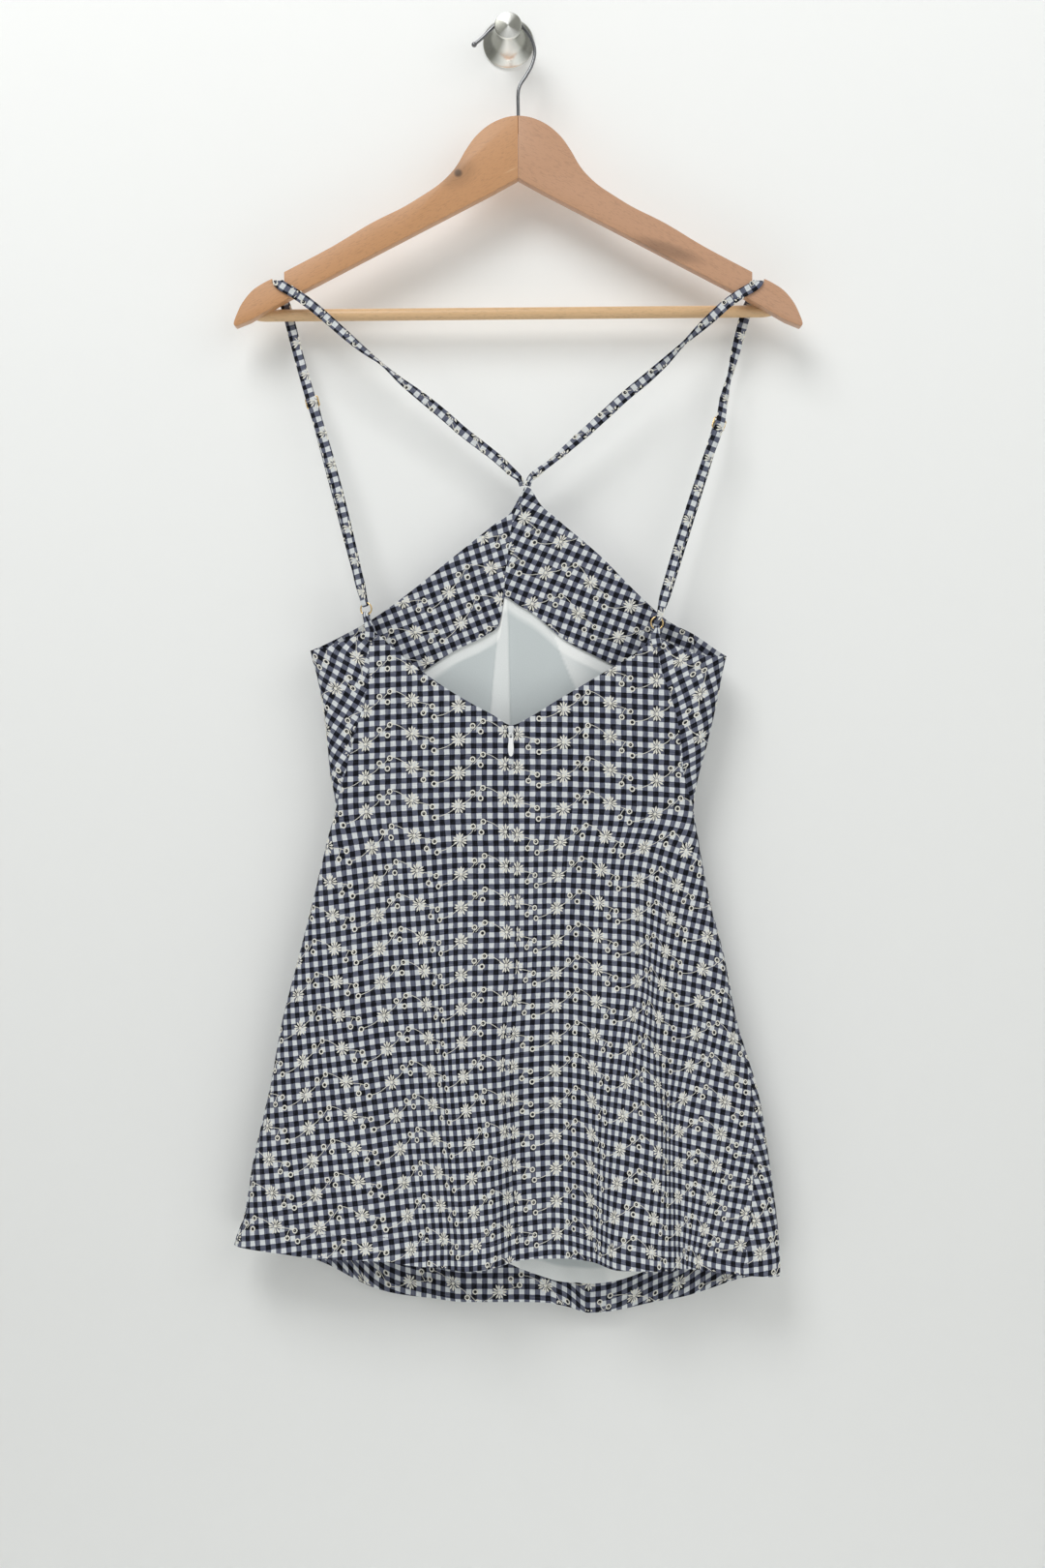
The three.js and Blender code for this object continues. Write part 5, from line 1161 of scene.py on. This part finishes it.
def double_run(side):
    """The straight run from slider to ring: where it starts, its way, its length, and the two
    directions across it at a share of its length"""
    x, y, z, turn = SLIDERS[side]
    start = np.array([x, y, z], float)
    middle, ring_across, ring_up = ring_frame(side)
    a, b = (start - middle) @ ring_across, (start - middle) @ ring_up
    reach = RING_RADIUS / math.hypot(a, b)
    end = middle + ring_across * a * reach + ring_up * b * reach
    length = np.linalg.norm(end - start)
    run = (end - start) / length

    def frame_at(t):
        across = level_way(mix(turn, RINGS[side][3], float(smooth(t))))
        across = unit(across - run * (across @ run))
        return across, unit(np.cross(across, run))
    return start, run, length, frame_at


def double_layer(side, under):
    """One layer of the double run. The under layer shows a little to one side of the other."""
    start, run, length, frame_at = double_run(side)
    rows = []
    for t in np.linspace(0, 1, 37):
        across, forward = frame_at(t)
        at_slider, between_ends = (-2.9, -0.8) if under else (STRAP_OFF_BAR, 0.8)
        at_ring = -STRAP_OFF_RING if under else STRAP_OFF_RING
        stand = mix(mix(at_slider, between_ends, smooth(t * 5)), at_ring, smooth(t * 4 - 3))
        aside = 2.2 * math.sin(math.pi * t) * (1 if side == "left" else -0.7) if under else 0
        centre = start + run * t * length + forward * stand + across * aside
        width = mix(STRAP_WIDTH, STRAP_WIDTH_AT_RING, smooth(t * 9 - 8))
        rows.append(stations(centre, across, width))
    return np.vstack(rows)


def half_turn(middle, beyond, forward, across, radius, reach, width, from_front):
    """A half turn from one side of a wire to the other, reach beyond it"""
    turn = math.pi * np.arange(1, 8)[:, None] / 8
    front = np.cos(turn) * (1 if from_front else -1)
    line = middle + forward * front * radius + beyond * np.sin(turn) * reach
    return stations(line, across, width)


def as_sheet(piece, grid, node_name, *sewn_on):
    """A strap is a narrow tube of cloth, in the check cotton, which rides on the garment in place
    of its node
    """
    keep(wear(piece, COTTON_CHECK), replaced=[node_name])


def strap(side):
    """One strip: from the point of the neck up the room side of the hanger, down the wall side
    through the slider to the ring, round its wire and back up to the slider's middle bar"""
    rows = finer(STRAPS[side], 4)
    centre = np.stack([rows[c] for c in "xyz"], axis=1)
    across = width_way(np.gradient(centre, axis=0), rows["lean"], rows["turn"])
    start, run, length, frame_at = double_run(side)
    ring_across, ring_forward = frame_at(1)
    top_across, top_forward = frame_at(0)
    strip = np.vstack([
        stations(centre, across, rows["width"]),
        double_layer(side, True),
        half_turn(start + run * length, run, ring_forward, ring_across, STRAP_OFF_RING, 2.3,
                  STRAP_WIDTH_AT_RING, False),
        double_layer(side, False)[::-1],
        half_turn(start, -run, top_forward, top_across, STRAP_OFF_BAR, 1.5, STRAP_WIDTH, True),
        stations(start - top_forward * STRAP_OFF_BAR + run * SEWN_END, top_across, STRAP_WIDTH),
    ])
    piece, grid = swept(f"strap_{side}_cloth", strip, STRAP_THICKNESS, STRIP_SECTION,
                        cut=STRAP_CUT[side], smooth_below=40)
    flowers = (STRAP_CUT[side][0] - 3.0, -553.6)
    as_sheet(piece, grid, f"strap_{side}", embroider(f"strap_{side}_embroidery", grid, flowers))


TAB_WIDTH = 7.4
TAB_THICKNESS = 1.0
TAB_LEG = 8.0
TAB_CUT = (2.6, -540.0)
TAB_TOP_Z = {"left": -474.6, "right": -479.6}


def ring_tab(side):
    """A short strip folded over the ring's lower wire and sewn to both faces of the back's top
    corner"""
    middle, ring_across, up = ring_frame(side)
    wire = middle - up * RING_RADIUS
    forward = -unit(np.cross(up, ring_across))
    legs = []
    for sign in (1, -1):
        z = TAB_TOP_Z[side] - TAB_LEG * np.linspace(1, 0, 7)
        along = seam(side)(z)
        here = place(along, z)
        above, below = (place(seam(side)(z + step), z + step) for step in (0.5, -0.5))
        out = unit(np.cross(place(along + 0.5, z) - place(along - 0.5, z), above - below))
        centre = here + out * sign * (CLOTH_WALL / 2 + AIR + TAB_THICKNESS / 2)
        across = unit(np.stack([-out[:, 1], out[:, 0], 0 * z], axis=1))
        t = np.linspace(0, 1, 6)[1:, None]
        top, wire_side = centre[-1], wire + forward * sign * STRAP_OFF_RING
        legs.append(np.vstack([
            stations(centre, across, TAB_WIDTH),
            stations(mix(top, wire_side, t), mix(across[-1], ring_across, t),
                     mix(TAB_WIDTH, STRAP_WIDTH_AT_RING, t[:, 0]))]))
    over = half_turn(wire, up, forward, ring_across, STRAP_OFF_RING, 2.2, STRAP_WIDTH_AT_RING,
                     True)
    strip = np.vstack([legs[0], over, legs[1][::-1]])
    piece, grid = swept(f"ring_tab_{side}_cloth", strip, TAB_THICKNESS, STRIP_SECTION,
                        cut=TAB_CUT, smooth_below=40)
    as_sheet(piece, grid, f"ring_tab_{side}")


# Hard pieces
def set_down(piece, matrix):
    """Puts a piece's place and turn into its mesh"""
    piece.data.transform(matrix)
    piece.data.update()
    return piece


def round_edges(piece, width, segments=3, limit=30):
    bevel = piece.modifiers.new("edges", "BEVEL")
    bevel.width = width * MM
    bevel.segments = segments
    bevel.limit_method = "ANGLE"
    bevel.angle_limit = math.radians(limit)
    apply(bevel)
    smooth_faces(limit)


def turned_piece(name, rows, matrix, sides=48, edge=0.25):
    """A turned piece: a disc drawn out row by row, each with its own radius"""
    piece = primitive(bpy.ops.mesh.primitive_circle_add, name, vertices=sides,
                      radius=rows[0][0] * MM, fill_type="NGON")
    bpy.ops.object.mode_set(mode="EDIT")
    for (r0, z0), (r1, z1) in zip(rows, rows[1:]):
        bpy.ops.mesh.extrude_region_move(TRANSFORM_OT_translate={"value": (0, 0, (z1 - z0) * MM)})
        if r1 != r0:
            bpy.ops.transform.resize(value=(r1 / r0, r1 / r0, 1), center_override=(0, 0, z1 * MM))
    face_outwards()
    set_down(piece, matrix)
    round_edges(piece, edge, 2, 28)
    return piece


def smooth_outline(rows, steps):
    """A smooth line through rows of places"""
    places = np.array([rows[0], *rows, rows[-1]], float)
    found = []
    for k in range(len(rows) - 1):
        p0, p1, p2, p3 = places[k:k + 4]
        for t in np.arange(steps) / steps:
            found.append(smooth_way(t, 1, p1, p2, (p2 - p0) / 2, (p3 - p1) / 2))
    return found + [places[-1]]


def plate(name, outline, thickness, middle_y):
    """A plate cut to an outline in X and Z, with its middle on a plane"""
    piece = primitive(bpy.ops.mesh.primitive_circle_add, name, vertices=len(outline), radius=1,
                      fill_type="NGON")
    for vertex, (x, z) in zip(piece.data.vertices, outline):
        vertex.co = (x * MM, (middle_y - thickness / 2) * MM, z * MM)
    bpy.ops.object.mode_set(mode="EDIT")
    bpy.ops.mesh.select_all(action="SELECT")
    bpy.ops.mesh.extrude_region_move(TRANSFORM_OT_translate={"value": (0, thickness * MM, 0)})
    face_outwards()
    return piece


HANGER_X = 7.9
HANGER_THICKNESS = 12.0
NOTCH_FLOOR_Z = -201.5
BAR_RADIUS = 4.8
HOOK_WIRE = 1.35
BALL_RADIUS = 2.1
ARM_SHOULDER = [(0.05, -70.3), (10.3, -71.8), (22.7, -77.4), (33.5, -86.7), (41.3, -97.6),
                (47.5, -108.4), (53.6, -116.2), (62.9, -124.8), (75.4, -133.2), (90.8, -142.5),
                (115.6, -154.9), (146.7, -173.5), (183.8, -193.2)]
ARM_TIP = [(193.2, -198.4), (199.4, -201.4), (208.7, -207.6), (216.4, -216.9), (221.0, -226.2),
           (223.4, -233.4), (221.8, -235.6)]
ARM_UNDERSIDE = [(210.2, -230.9), (177.7, -212.3), (100.1, -171.9), (22.7, -131.7), (0.05, -119.3)]
BAR_ENDS = ((-203, -223.9), (211.5, -220.3))
HOOK_ROWS = [(7.9, -83), (7.9, -66), (7.8, -52), (9.4, -44.8), (14, -37.5), (18.6, -29),
             (20.9, -19), (18.8, -9.5), (13, -1), (6.2, 5.2), (0, 7.15), (-6.5, 5.5),
             (-13.5, -0.6), (-20.5, -7.5), (-26.8, -12.8)]
KNOB_ROWS = [(20.4, 0), (20.4, 1.4), (19.2, 2.6), (15.6, 4.2), (12.2, 7.4), (9.4, 12), (7.2, 18.5),
             (5.9, 26), (5.5, 31.5), (5.5, 37.2), (6.6, 38.4), (10.3, 38.9), (10.7, 39.4),
             (10.7, 42.1), (10.1, 42.7)]


def hanger_arm(side):
    """A sawn arm with routed edges and a notch for the strap"""
    sign = -1 if side == "left" else 1
    floor = [(ARM_SHOULDER[-1][0], NOTCH_FLOOR_Z), (ARM_TIP[0][0], NOTCH_FLOOR_Z)]
    outline = smooth_outline(ARM_SHOULDER, 6) + floor + smooth_outline(ARM_TIP, 4) + ARM_UNDERSIDE
    outline = [(HANGER_X + sign * out, z) for out, z in outline]
    arm = plate(f"hanger_arm_{side}_wood", outline, HANGER_THICKNESS, MIDDLE_Y)
    round_edges(arm, 1.7, 3, 35)
    keep(wear(arm, ARM_WOOD[side]), replaced=[f"hanger_arm_{side}"])


def hanger_bar():
    (x0, z0), (x1, z1) = BAR_ENDS
    length, r = math.hypot(x1 - x0, z1 - z0), BAR_RADIUS
    tip = [(0.2, 0), (0.55, 0.25), (0.82, 0.8), (0.95, 1.5), (1, 2.2)]
    rows = [(r * a, r * b) for a, b in tip] + [(r * a, length - r * b) for a, b in tip[::-1]]
    start = Vector((x0, MIDDLE_Y + HANGER_THICKNESS / 2 + AIR + r, z0)) * MM
    turn = Vector((x1 - x0, 0, z1 - z0)).to_track_quat("Z", "Y").to_matrix().to_4x4()
    bar = turned_piece("hanger_bar_wood", rows, Matrix.Translation(start) @ turn, 32, 0.2)
    keep(wear(bar, BAR_WOOD), replaced=["hanger_bar"])


def wire_piece(name, places, across, radius, closed=False, sides=14):
    strip = stations(np.array(places, float), across, 2 * radius)
    return swept(name, strip, 2 * radius, round_section(sides), closed)[0]


def merged(name, pieces, *materials):
    """Joins pieces into one"""
    select_only(*pieces)
    bpy.ops.object.join()
    pieces[0].name = name
    return wear(pieces[0], *materials)


def hook():
    """Bent wire with a small ball pressed on its end"""
    line = [(x, MIDDLE_Y, z) for x, z in smooth_outline(HOOK_ROWS, 7)]
    wire = wire_piece("hook_wire", line, (0, 1, 0), HOOK_WIRE)
    ball = primitive(bpy.ops.mesh.primitive_uv_sphere_add, "hook_ball", segments=20, ring_count=12,
                     radius=BALL_RADIUS * MM)
    set_down(ball, Matrix.Translation(Vector(line[-1]) * MM))
    bpy.ops.object.shade_smooth()
    keep(merged("hanger_hook_wire", [wire, ball], HOOK_STEEL), replaced=["hanger_hook"])


def wall_knob():
    """A round plate, a stem that flares from it like a trumpet, and a flat faced head"""
    towards_room = Matrix.Rotation(math.pi / 2, 4, "X")
    knob = turned_piece("wall_knob_steel", KNOB_ROWS, towards_room, 72, 0.3)
    keep(wear(knob, KNOB_STEEL), replaced=["wall_knob"])


def strap_slider(side):
    """A cast frame with a middle bar"""
    start, run, length, frame_at = double_run(side)
    across, forward = frame_at(0)
    up = -run
    w, h = (SLIDER_WIDTH - SLIDER_WIRE) / 2, (SLIDER_HEIGHT - SLIDER_WIRE) / 2
    corner, line = SLIDER_CORNER, []
    for k, (sx, sz) in enumerate(((1, 1), (-1, 1), (-1, -1), (1, -1))):
        for a in np.linspace(0, math.pi / 2, 5) + k * math.pi / 2:
            line.append(start + across * (sx * (w - corner) + corner * math.cos(a))
                        + up * (sz * (h - corner) + corner * math.sin(a)))
    outer = wire_piece("slider_frame", line, forward, SLIDER_WIRE / 2, True, 10)
    bar = wire_piece("slider_bar", [start + across * k * w for k in (-1, -0.5, 0, 0.5, 1)], forward,
                     SLIDER_WIRE / 2, False, 10)
    keep(merged(f"strap_slider_{side}_plate", [outer, bar], GOLD_PLATE),
         replaced=[f"strap_slider_{side}"])


def strap_ring(side):
    middle, across, up = ring_frame(side)
    turn = 2 * math.pi * np.arange(56)[:, None] / 56
    line = middle + RING_RADIUS * (across * np.cos(turn) + up * np.sin(turn))
    ring = wire_piece(f"strap_ring_{side}_wire", line, np.cross(across, up), RING_WIRE, True, 12)
    keep(wear(ring, GOLD_PLATE), replaced=[f"strap_ring_{side}"])


# The zip's slider and its pull tab, which swings about the middle of the slider's arch
ZIP_X = 2.2
ZIP_PIVOT = (ZIP_X, -49.997, -555.6)
ZIP_FRONT = -49.197
ZIP_BODY = (4.8, 8.4, 1.8)
ZIP_TOP_Z = -549.5
PULL_LENGTH = 18.4
PULL_HALF_WIDTH = 2.15


def zip_slider():
    """A cast body that tapers to its foot, with an arch that holds the pull's eye"""
    w, h, middle_z = ZIP_BODY[0] / 2, ZIP_BODY[1] / 2, ZIP_TOP_Z - ZIP_BODY[1] / 2
    outline = [(-w * 0.55, -h), (w * 0.55, -h), (w * 0.75, 0), (w, h * 0.8), (w * 0.7, h),
               (-w * 0.7, h), (-w, h * 0.8), (-w * 0.75, 0)]
    body = plate("zip_body", [(ZIP_X + x, middle_z + z) for x, z in outline], ZIP_BODY[2],
                 ZIP_FRONT + ZIP_BODY[2] / 2)
    round_edges(body, 0.4, 3, 35)
    turn = 2 * math.pi * np.arange(32)[:, None] / 32
    line = np.array(ZIP_PIVOT) + 1.2 * (np.cos(turn) * [0, 1, 0] + np.sin(turn) * [0, 0, 1])
    arch, _ = swept("zip_arch", stations(line, (1, 0, 0), 1.2), 0.8, round_section(12), True)
    keep(merged("zip_slider_enamel", [body, arch], SLIDER_ENAMEL), replaced=["zip_slider"])


def zip_pull():
    """A slim drop-shaped tab with an eye at its top"""
    w, foot = PULL_HALF_WIDTH, 0.5 - PULL_LENGTH
    sides = [curve_points(c, 8)[:-1] for c in (
        [(-1.5, 0.5), (-2.2, 0.5), (-1.7, -4.5), (-1.75, -5.5)],
        [(-1.75, -5.5), (-1.9, -8), (-w - 0.15, -9.5), (-w, -12)],
        [(-w, -12), (-w, -15), (-1.6, foot), (0, foot)])]
    left = np.vstack(sides + [[(0, foot)]])
    outline = np.vstack([left, left[-2::-1] * [-1, 1]]) + [ZIP_PIVOT[0], ZIP_PIVOT[2]]
    pull = plate("zip_pull_enamel", outline.tolist(), 1.0, ZIP_PIVOT[1])
    hole = np.array([(-1.05, -0.5), (-1.05, -2.9), (-0.74, -3.25), (0, -3.4), (0.74, -3.25),
                     (1.05, -2.9), (1.05, -0.5)]) + [ZIP_PIVOT[0], ZIP_PIVOT[2]]
    cutter = plate("eye", hole.tolist(), 3.0, ZIP_PIVOT[1])
    select_only(pull)
    cut = pull.modifiers.new("eye", "BOOLEAN")
    cut.object = cutter
    cut.operation = "DIFFERENCE"
    apply(cut)
    bpy.data.objects.remove(cutter)
    round_edges(pull, 0.3, 3, 50)
    keep(wear(pull, PULL_ENAMEL), "pull", replaced=["zip_pull"])


def hem_stitches(name, grid, height):
    """A row of machine stitches along a panel, at a height above its hem"""
    columns, rows = grid["z"].shape[0] - 1, grid["z"].shape[1] - 1
    tall = grid["above hem"][:, -1]
    length = np.linalg.norm(np.diff(grid["laid"][:, 4], axis=0), axis=1)
    reached = np.concatenate([[0], np.cumsum(length)])
    starts = np.arange(1.5, reached[-1] - 3, 2.9)
    stitch = np.array([(0, -0.17, 0), (0, 0.17, 0), (1.05, -0.17, 0.34), (1.05, 0.17, 0.34),
                       (2.1, -0.17, 0), (2.1, 0.17, 0)])
    at = starts[:, None] + stitch[None, :, 0]
    i = np.interp(at.ravel(), reached, np.arange(columns + 1))
    up = height + np.tile(stitch[:, 1], len(starts))
    j = rows * up / np.interp(i, np.arange(columns + 1), tall)
    spots = on_cloth(grid, i, j, np.tile(stitch[:, 2], len(starts)))
    faces = [[6 * k + v for v in face] for k in range(len(starts))
             for face in ((0, 2, 3, 1), (2, 4, 5, 3))]
    return keep(wear(forms(name, spots, faces), SEWING_THREAD))


# Cloth pieces
def sewn(node_name, grid, lift, fabric, flowers, stitches_up=None, held="hung"):
    """A panel of the check cotton, with its embroidery and any stitches of its hem"""
    piece = grid_object(f"{node_name}_cloth", grid, lift, fabric, COTTON)
    wear(piece, COTTON_CHECK)
    sewn_on = [embroider(f"{node_name}_embroidery", grid, flowers)]
    if stitches_up:
        sewn_on.append(hem_stitches(f"{node_name}_hem_stitches", grid, stitches_up))
    declare(piece, node_name, "gingham", grid, held, *sewn_on)


# One daisy of each back panel, as its place in the cloth
BACK_DAISY = {"left": (-4.4, -553.6), "right": (4.8, -555.9)}


def back_panel(side):
    """Each back panel runs from the neckline to the hem, with no waist seam"""
    is_left = side == "left"
    start, end = (seam("left"), seam("back")) if is_left else (seam("back"), seam("right"))
    grid = panel(start, end, (NEAR_HEM, FAR_HEM, -965), (NECKLINE, NECKLINE, -515), 205, 480)
    from_centre = abs(grid["along"] - seam("back")(grid["z"]))
    from_side = abs(grid["along"] - (start if is_left else end)(grid["z"]))
    lift = crease_height(grid) + seam_groove(from_centre, 0.9) + seam_groove(from_side)
    lift += pucker(grid, from_centre, 0.7) + pucker(grid, from_side, 1.9) + hem_relief(grid)
    sewn(f"back_{side}", grid, lift, back_fabric(grid["along"], grid["z"]), BACK_DAISY[side], 18.9)


# One white square and one daisy of each half of the bodice, as places seen on the near side
BODICE = {
    "left": {"angle": 50, "white": (-132.6, -500.9), "daisy": (-135.2, -520.3)},
    "right": {"angle": -55, "white": (147.0, -497.2), "daisy": (150.3, -524.7)},
}


def front_bodice(side):
    """Each half starts at the centre front, passes the armhole and laps onto the back"""
    is_left = side == "left"
    start, end = (
        (seam("front"), seam("left again")) if is_left else (seam("right"), seam("front")))
    grid = panel(start, end, WAIST_Z, (NEAR_ARMHOLE, FAR_NECK, -480), 190, 200)
    from_centre = abs(grid["along"] - seam("front")(grid["z"]))
    from_side = abs(grid["along"] - (end if is_left else start)(grid["z"]))
    lift = crease_height(grid) + seam_groove(from_centre) + seam_groove(from_side)
    lift += pucker(grid, from_side, 3.1) + seam_groove(grid["above hem"], 0.7)

    def on_near_side(x, z):
        return distance_at(z, x, "near") + (whole(z) if is_left else 0), z

    plan = cross_cut(BODICE[side]["angle"], on_near_side(*BODICE[side]["white"]))
    sewn(f"front_bodice_{side}", grid, lift, plan(grid["along"], grid["z"]),
         plan(*on_near_side(*BODICE[side]["daisy"])))


def front_skirt():
    grid = panel(seam("right"), seam("left again"), (NEAR_HEM, FAR_HEM, -985), WAIST_Z, 430, 395)
    from_right = grid["along"] - seam("right")(grid["z"])
    from_left = seam("left again")(grid["z"]) - grid["along"]
    lift = crease_height(grid) + seam_groove(from_right) + seam_groove(from_left)
    lift += pucker(grid, from_right, 4.4) + pucker(grid, from_left, 5.2) + hem_relief(grid)
    lift += seam_groove(grid["below top"], 0.7)
    sewn("front_skirt", grid, lift, front_fabric(grid["along"], grid["z"]), (0.0, -633.0),
         HEM_TURNING - 1.5)


INSIDE_MARGIN = 26  # how far the inside pieces end from the dress's side folds
FACING = {
    "left": {"angle": 21, "white": (-43.0, -426.2), "daisy": (-13.5, -424.5)},
    "right": {"angle": -21, "white": (23.0, -397.3), "daisy": (65.1, -435.6)},
}


def left_end(z):
    return track(OUTLINE, "z", "left", z) + INSIDE_MARGIN


def right_end(z):
    return track(OUTLINE, "z", "right", z) - INSIDE_MARGIN


def centre_front(z):
    return track(CENTRE_SEAMS, "z", "front", z)


def neck_facing(side):
    """The facings back the front's upper edge. Their lower edge stands off from the lining."""
    ends = (left_end, centre_front) if side == "left" else (centre_front, right_end)
    grid = inside_panel(
        ends, lambda x: track(FACING_EDGE, "x", "z", x), lambda x: track(FAR_NECK, "x", "z", x),
        140, 75)
    stand = mix(VOILE_WALL + 4 * AIR, AIR, smooth(grid["v"] * 1.8 - 0.35))
    lift = stand + CLOTH_WALL + seam_groove(abs(grid["x"] - centre_front(grid["z"])), 0.7)

    def on_far_side(x, z):
        return distance_at(z, x, "far"), z

    plan = cross_cut(FACING[side]["angle"], on_far_side(*FACING[side]["white"]), mirrored=True)
    sewn(f"neck_facing_{side}", grid, lift, plan(grid["along"], grid["z"]),
         plan(*on_far_side(*FACING[side]["daisy"])))


def lining_fold(x, z):
    down = (-450 - z) / (-450 - HEM_Z)
    depth = 0 * x
    for top_x, hem_x, width, fold in zip(*LINING_FOLDS.values()):
        depth += fold * np.exp(-2 * ((x - mix(top_x, hem_x, down)) / width) ** 2)
    return depth * smooth((-478 - z) / 60)


PLEAT = table("z left right", [
    (-440, -4, -1), (-470, -8, 0.5), (-520, -13, 1.5), (-560, -15.5, 2.5), (-980, -22, 9),
])
CORNER_FOLD = table("z x", [
    (-470, 33), (-495, 42), (-520, 53), (-545, 62), (-600, 78),
])


def doubled_voile(x, z, above_edge):
    """How far a place of the lining lies double: in the pleat, beside the facings' edge where
    its own turning is, and in the corner that the right fold turns over"""
    pleat = smooth(x - track(PLEAT, "z", "left", z)) * smooth(track(PLEAT, "z", "right", z) - x)
    turning = smooth((11.5 - above_edge) / 3)
    fold = track(CORNER_FOLD, "z", "x", z)
    corner = smooth((x - fold) / 1.5) * smooth((fold + 30 - x) / 26)
    return np.clip(0.55 * pleat + 0.7 * turning + 0.6 * corner, 0, 1), pleat, corner


def front_lining():
    """White lining that hangs free inside the front from behind the facings' lower edge"""
    tuck = 4
    grid = inside_panel(
        (left_end, right_end), lambda x: track(LINING_HEM, "x", "z", x),
        lambda x: np.maximum(track(FACING_EDGE, "x", "z", x), -533) + tuck, 380, 490, 0.5)
    hang = smooth((-520 - grid["z"]) / 90)
    double, pleat, corner = doubled_voile(grid["x"], grid["z"], grid["below top"] - tuck)
    lift = CLOTH_WALL / 2 + AIR + mix(0, CLOTH_WALL + 2 * AIR + 0.9, hang)
    lift = lift + VOILE_WALL / 2 + lining_fold(grid["x"], grid["z"])
    lift = lift + (1.0 * pleat + 0.7 * corner) * smooth(grid["below top"] / 12)
    # Painted light: the lowest 13 mm of the lining is painted whiter, against the shade that the
    # back casts on it there
    double = np.clip(double + 0.65 * smooth((13 - grid["above hem"]) / 2), 0, 1)
    fabric = np.stack([grid["x"], grid["z"]], axis=-1)
    piece = grid_object("front_lining_cloth", grid, lift, fabric, VOILE, double)
    wear(piece, LINING_VOILE)
    declare(piece, "front_lining", "lining", grid, "hung")


def front_hem_facing():
    """The front's hem is turned up inside it, so its right side faces the room"""
    grid = panel(seam("right"), seam("left again"), (NEAR_HEM, FAR_HEM, -985), 0, 430, HEM_TURNING)
    bottom = grid["z"][:, :1]
    up = HEM_TURNING * np.linspace(0, 1, grid["z"].shape[1])[None, :]
    t = np.linspace(0, 1, grid["z"].shape[0])[:, None]
    z = bottom + up
    along = mix(seam("right")(z), seam("left again")(z), t)
    points = place(along, z)
    grid.update({"z": z, "along": along, "points": points, "out": -facing_way(points),
                 "turned over": True})
    lift = CLOTH_WALL + AIR - 0.9 * smooth(1 - up / 3)
    fabric = np.stack([seam("front")(z) - along, bottom - up], axis=-1)
    sewn("front_hem_facing", grid, lift, fabric, (-9.0, -1014.0), held="folded")


def stage():
    """A pale wall behind, a pale floor below, and soft studio light that falls from above"""
    scene = bpy.context.scene
    world = bpy.data.worlds.new("studio")
    scene.world = world
    world.use_nodes = True
    world.node_tree.nodes["Background"].inputs["Color"].default_value = colour("#f4f5f3")
    world.node_tree.nodes["Background"].inputs["Strength"].default_value = 0.47
    wall = primitive(bpy.ops.mesh.primitive_plane_add, "wall", size=6)
    set_down(wall, Matrix.Translation((0, 0.0006, 0.9)) @ Matrix.Rotation(math.pi / 2, 4, "X"))
    wear(wall, studio_wall())
    wall.visible_shadow = False
    floor = primitive(bpy.ops.mesh.primitive_plane_add, "floor", size=24)
    set_down(floor, Matrix.Translation((0, -2.0, -1.42)))
    wear(floor, plain("matt_floor_paint", "#e9eae8", 0.8))
    for name, place_at, aim, size, power in (
            ("key", (-0.9, -1.9, 1.55), (-0.1, 0, -0.1), 1.4, 41),
            ("fill", (1.7, -2.2, 0.5), (0.1, 0, -0.4), 2.0, 14),
            ("low fill", (0.1, -0.75, -1.37), (0.05, -0.02, -0.98), 0.45, 0.9),
            ("back", (0.4, 2.2, 0.9), (0, 0, -0.6), 1.8, 30)):
        data = bpy.data.lights.new(name, "AREA")
        data.size = size
        data.energy = power
        lamp = bpy.data.objects.new(name, data)
        scene.collection.objects.link(lamp)
        lamp.location = place_at
        lamp.rotation_euler = (Vector(aim) - Vector(place_at)).to_track_quat("-Z", "Y").to_euler()
    view = bpy.data.cameras.new("camera")
    view.lens = 50
    view.sensor_width = 36
    camera = bpy.data.objects.new("camera", view)
    scene.collection.objects.link(camera)
    camera.location = (0.0113, -1.75, -0.595)
    camera.rotation_euler = (math.pi / 2, 0, 0)
    scene.camera = camera
    scene.view_settings.view_transform = "Standard"


stage()
for side in ("left", "right"):
    back_panel(side)
    front_bodice(side)
    neck_facing(side)
    strap(side)
    ring_tab(side)
    strap_slider(side)
    strap_ring(side)
    hanger_arm(side)
front_skirt()
front_lining()
front_hem_facing()
hanger_bar()
hook()
wall_knob()
zip_slider()
zip_pull()
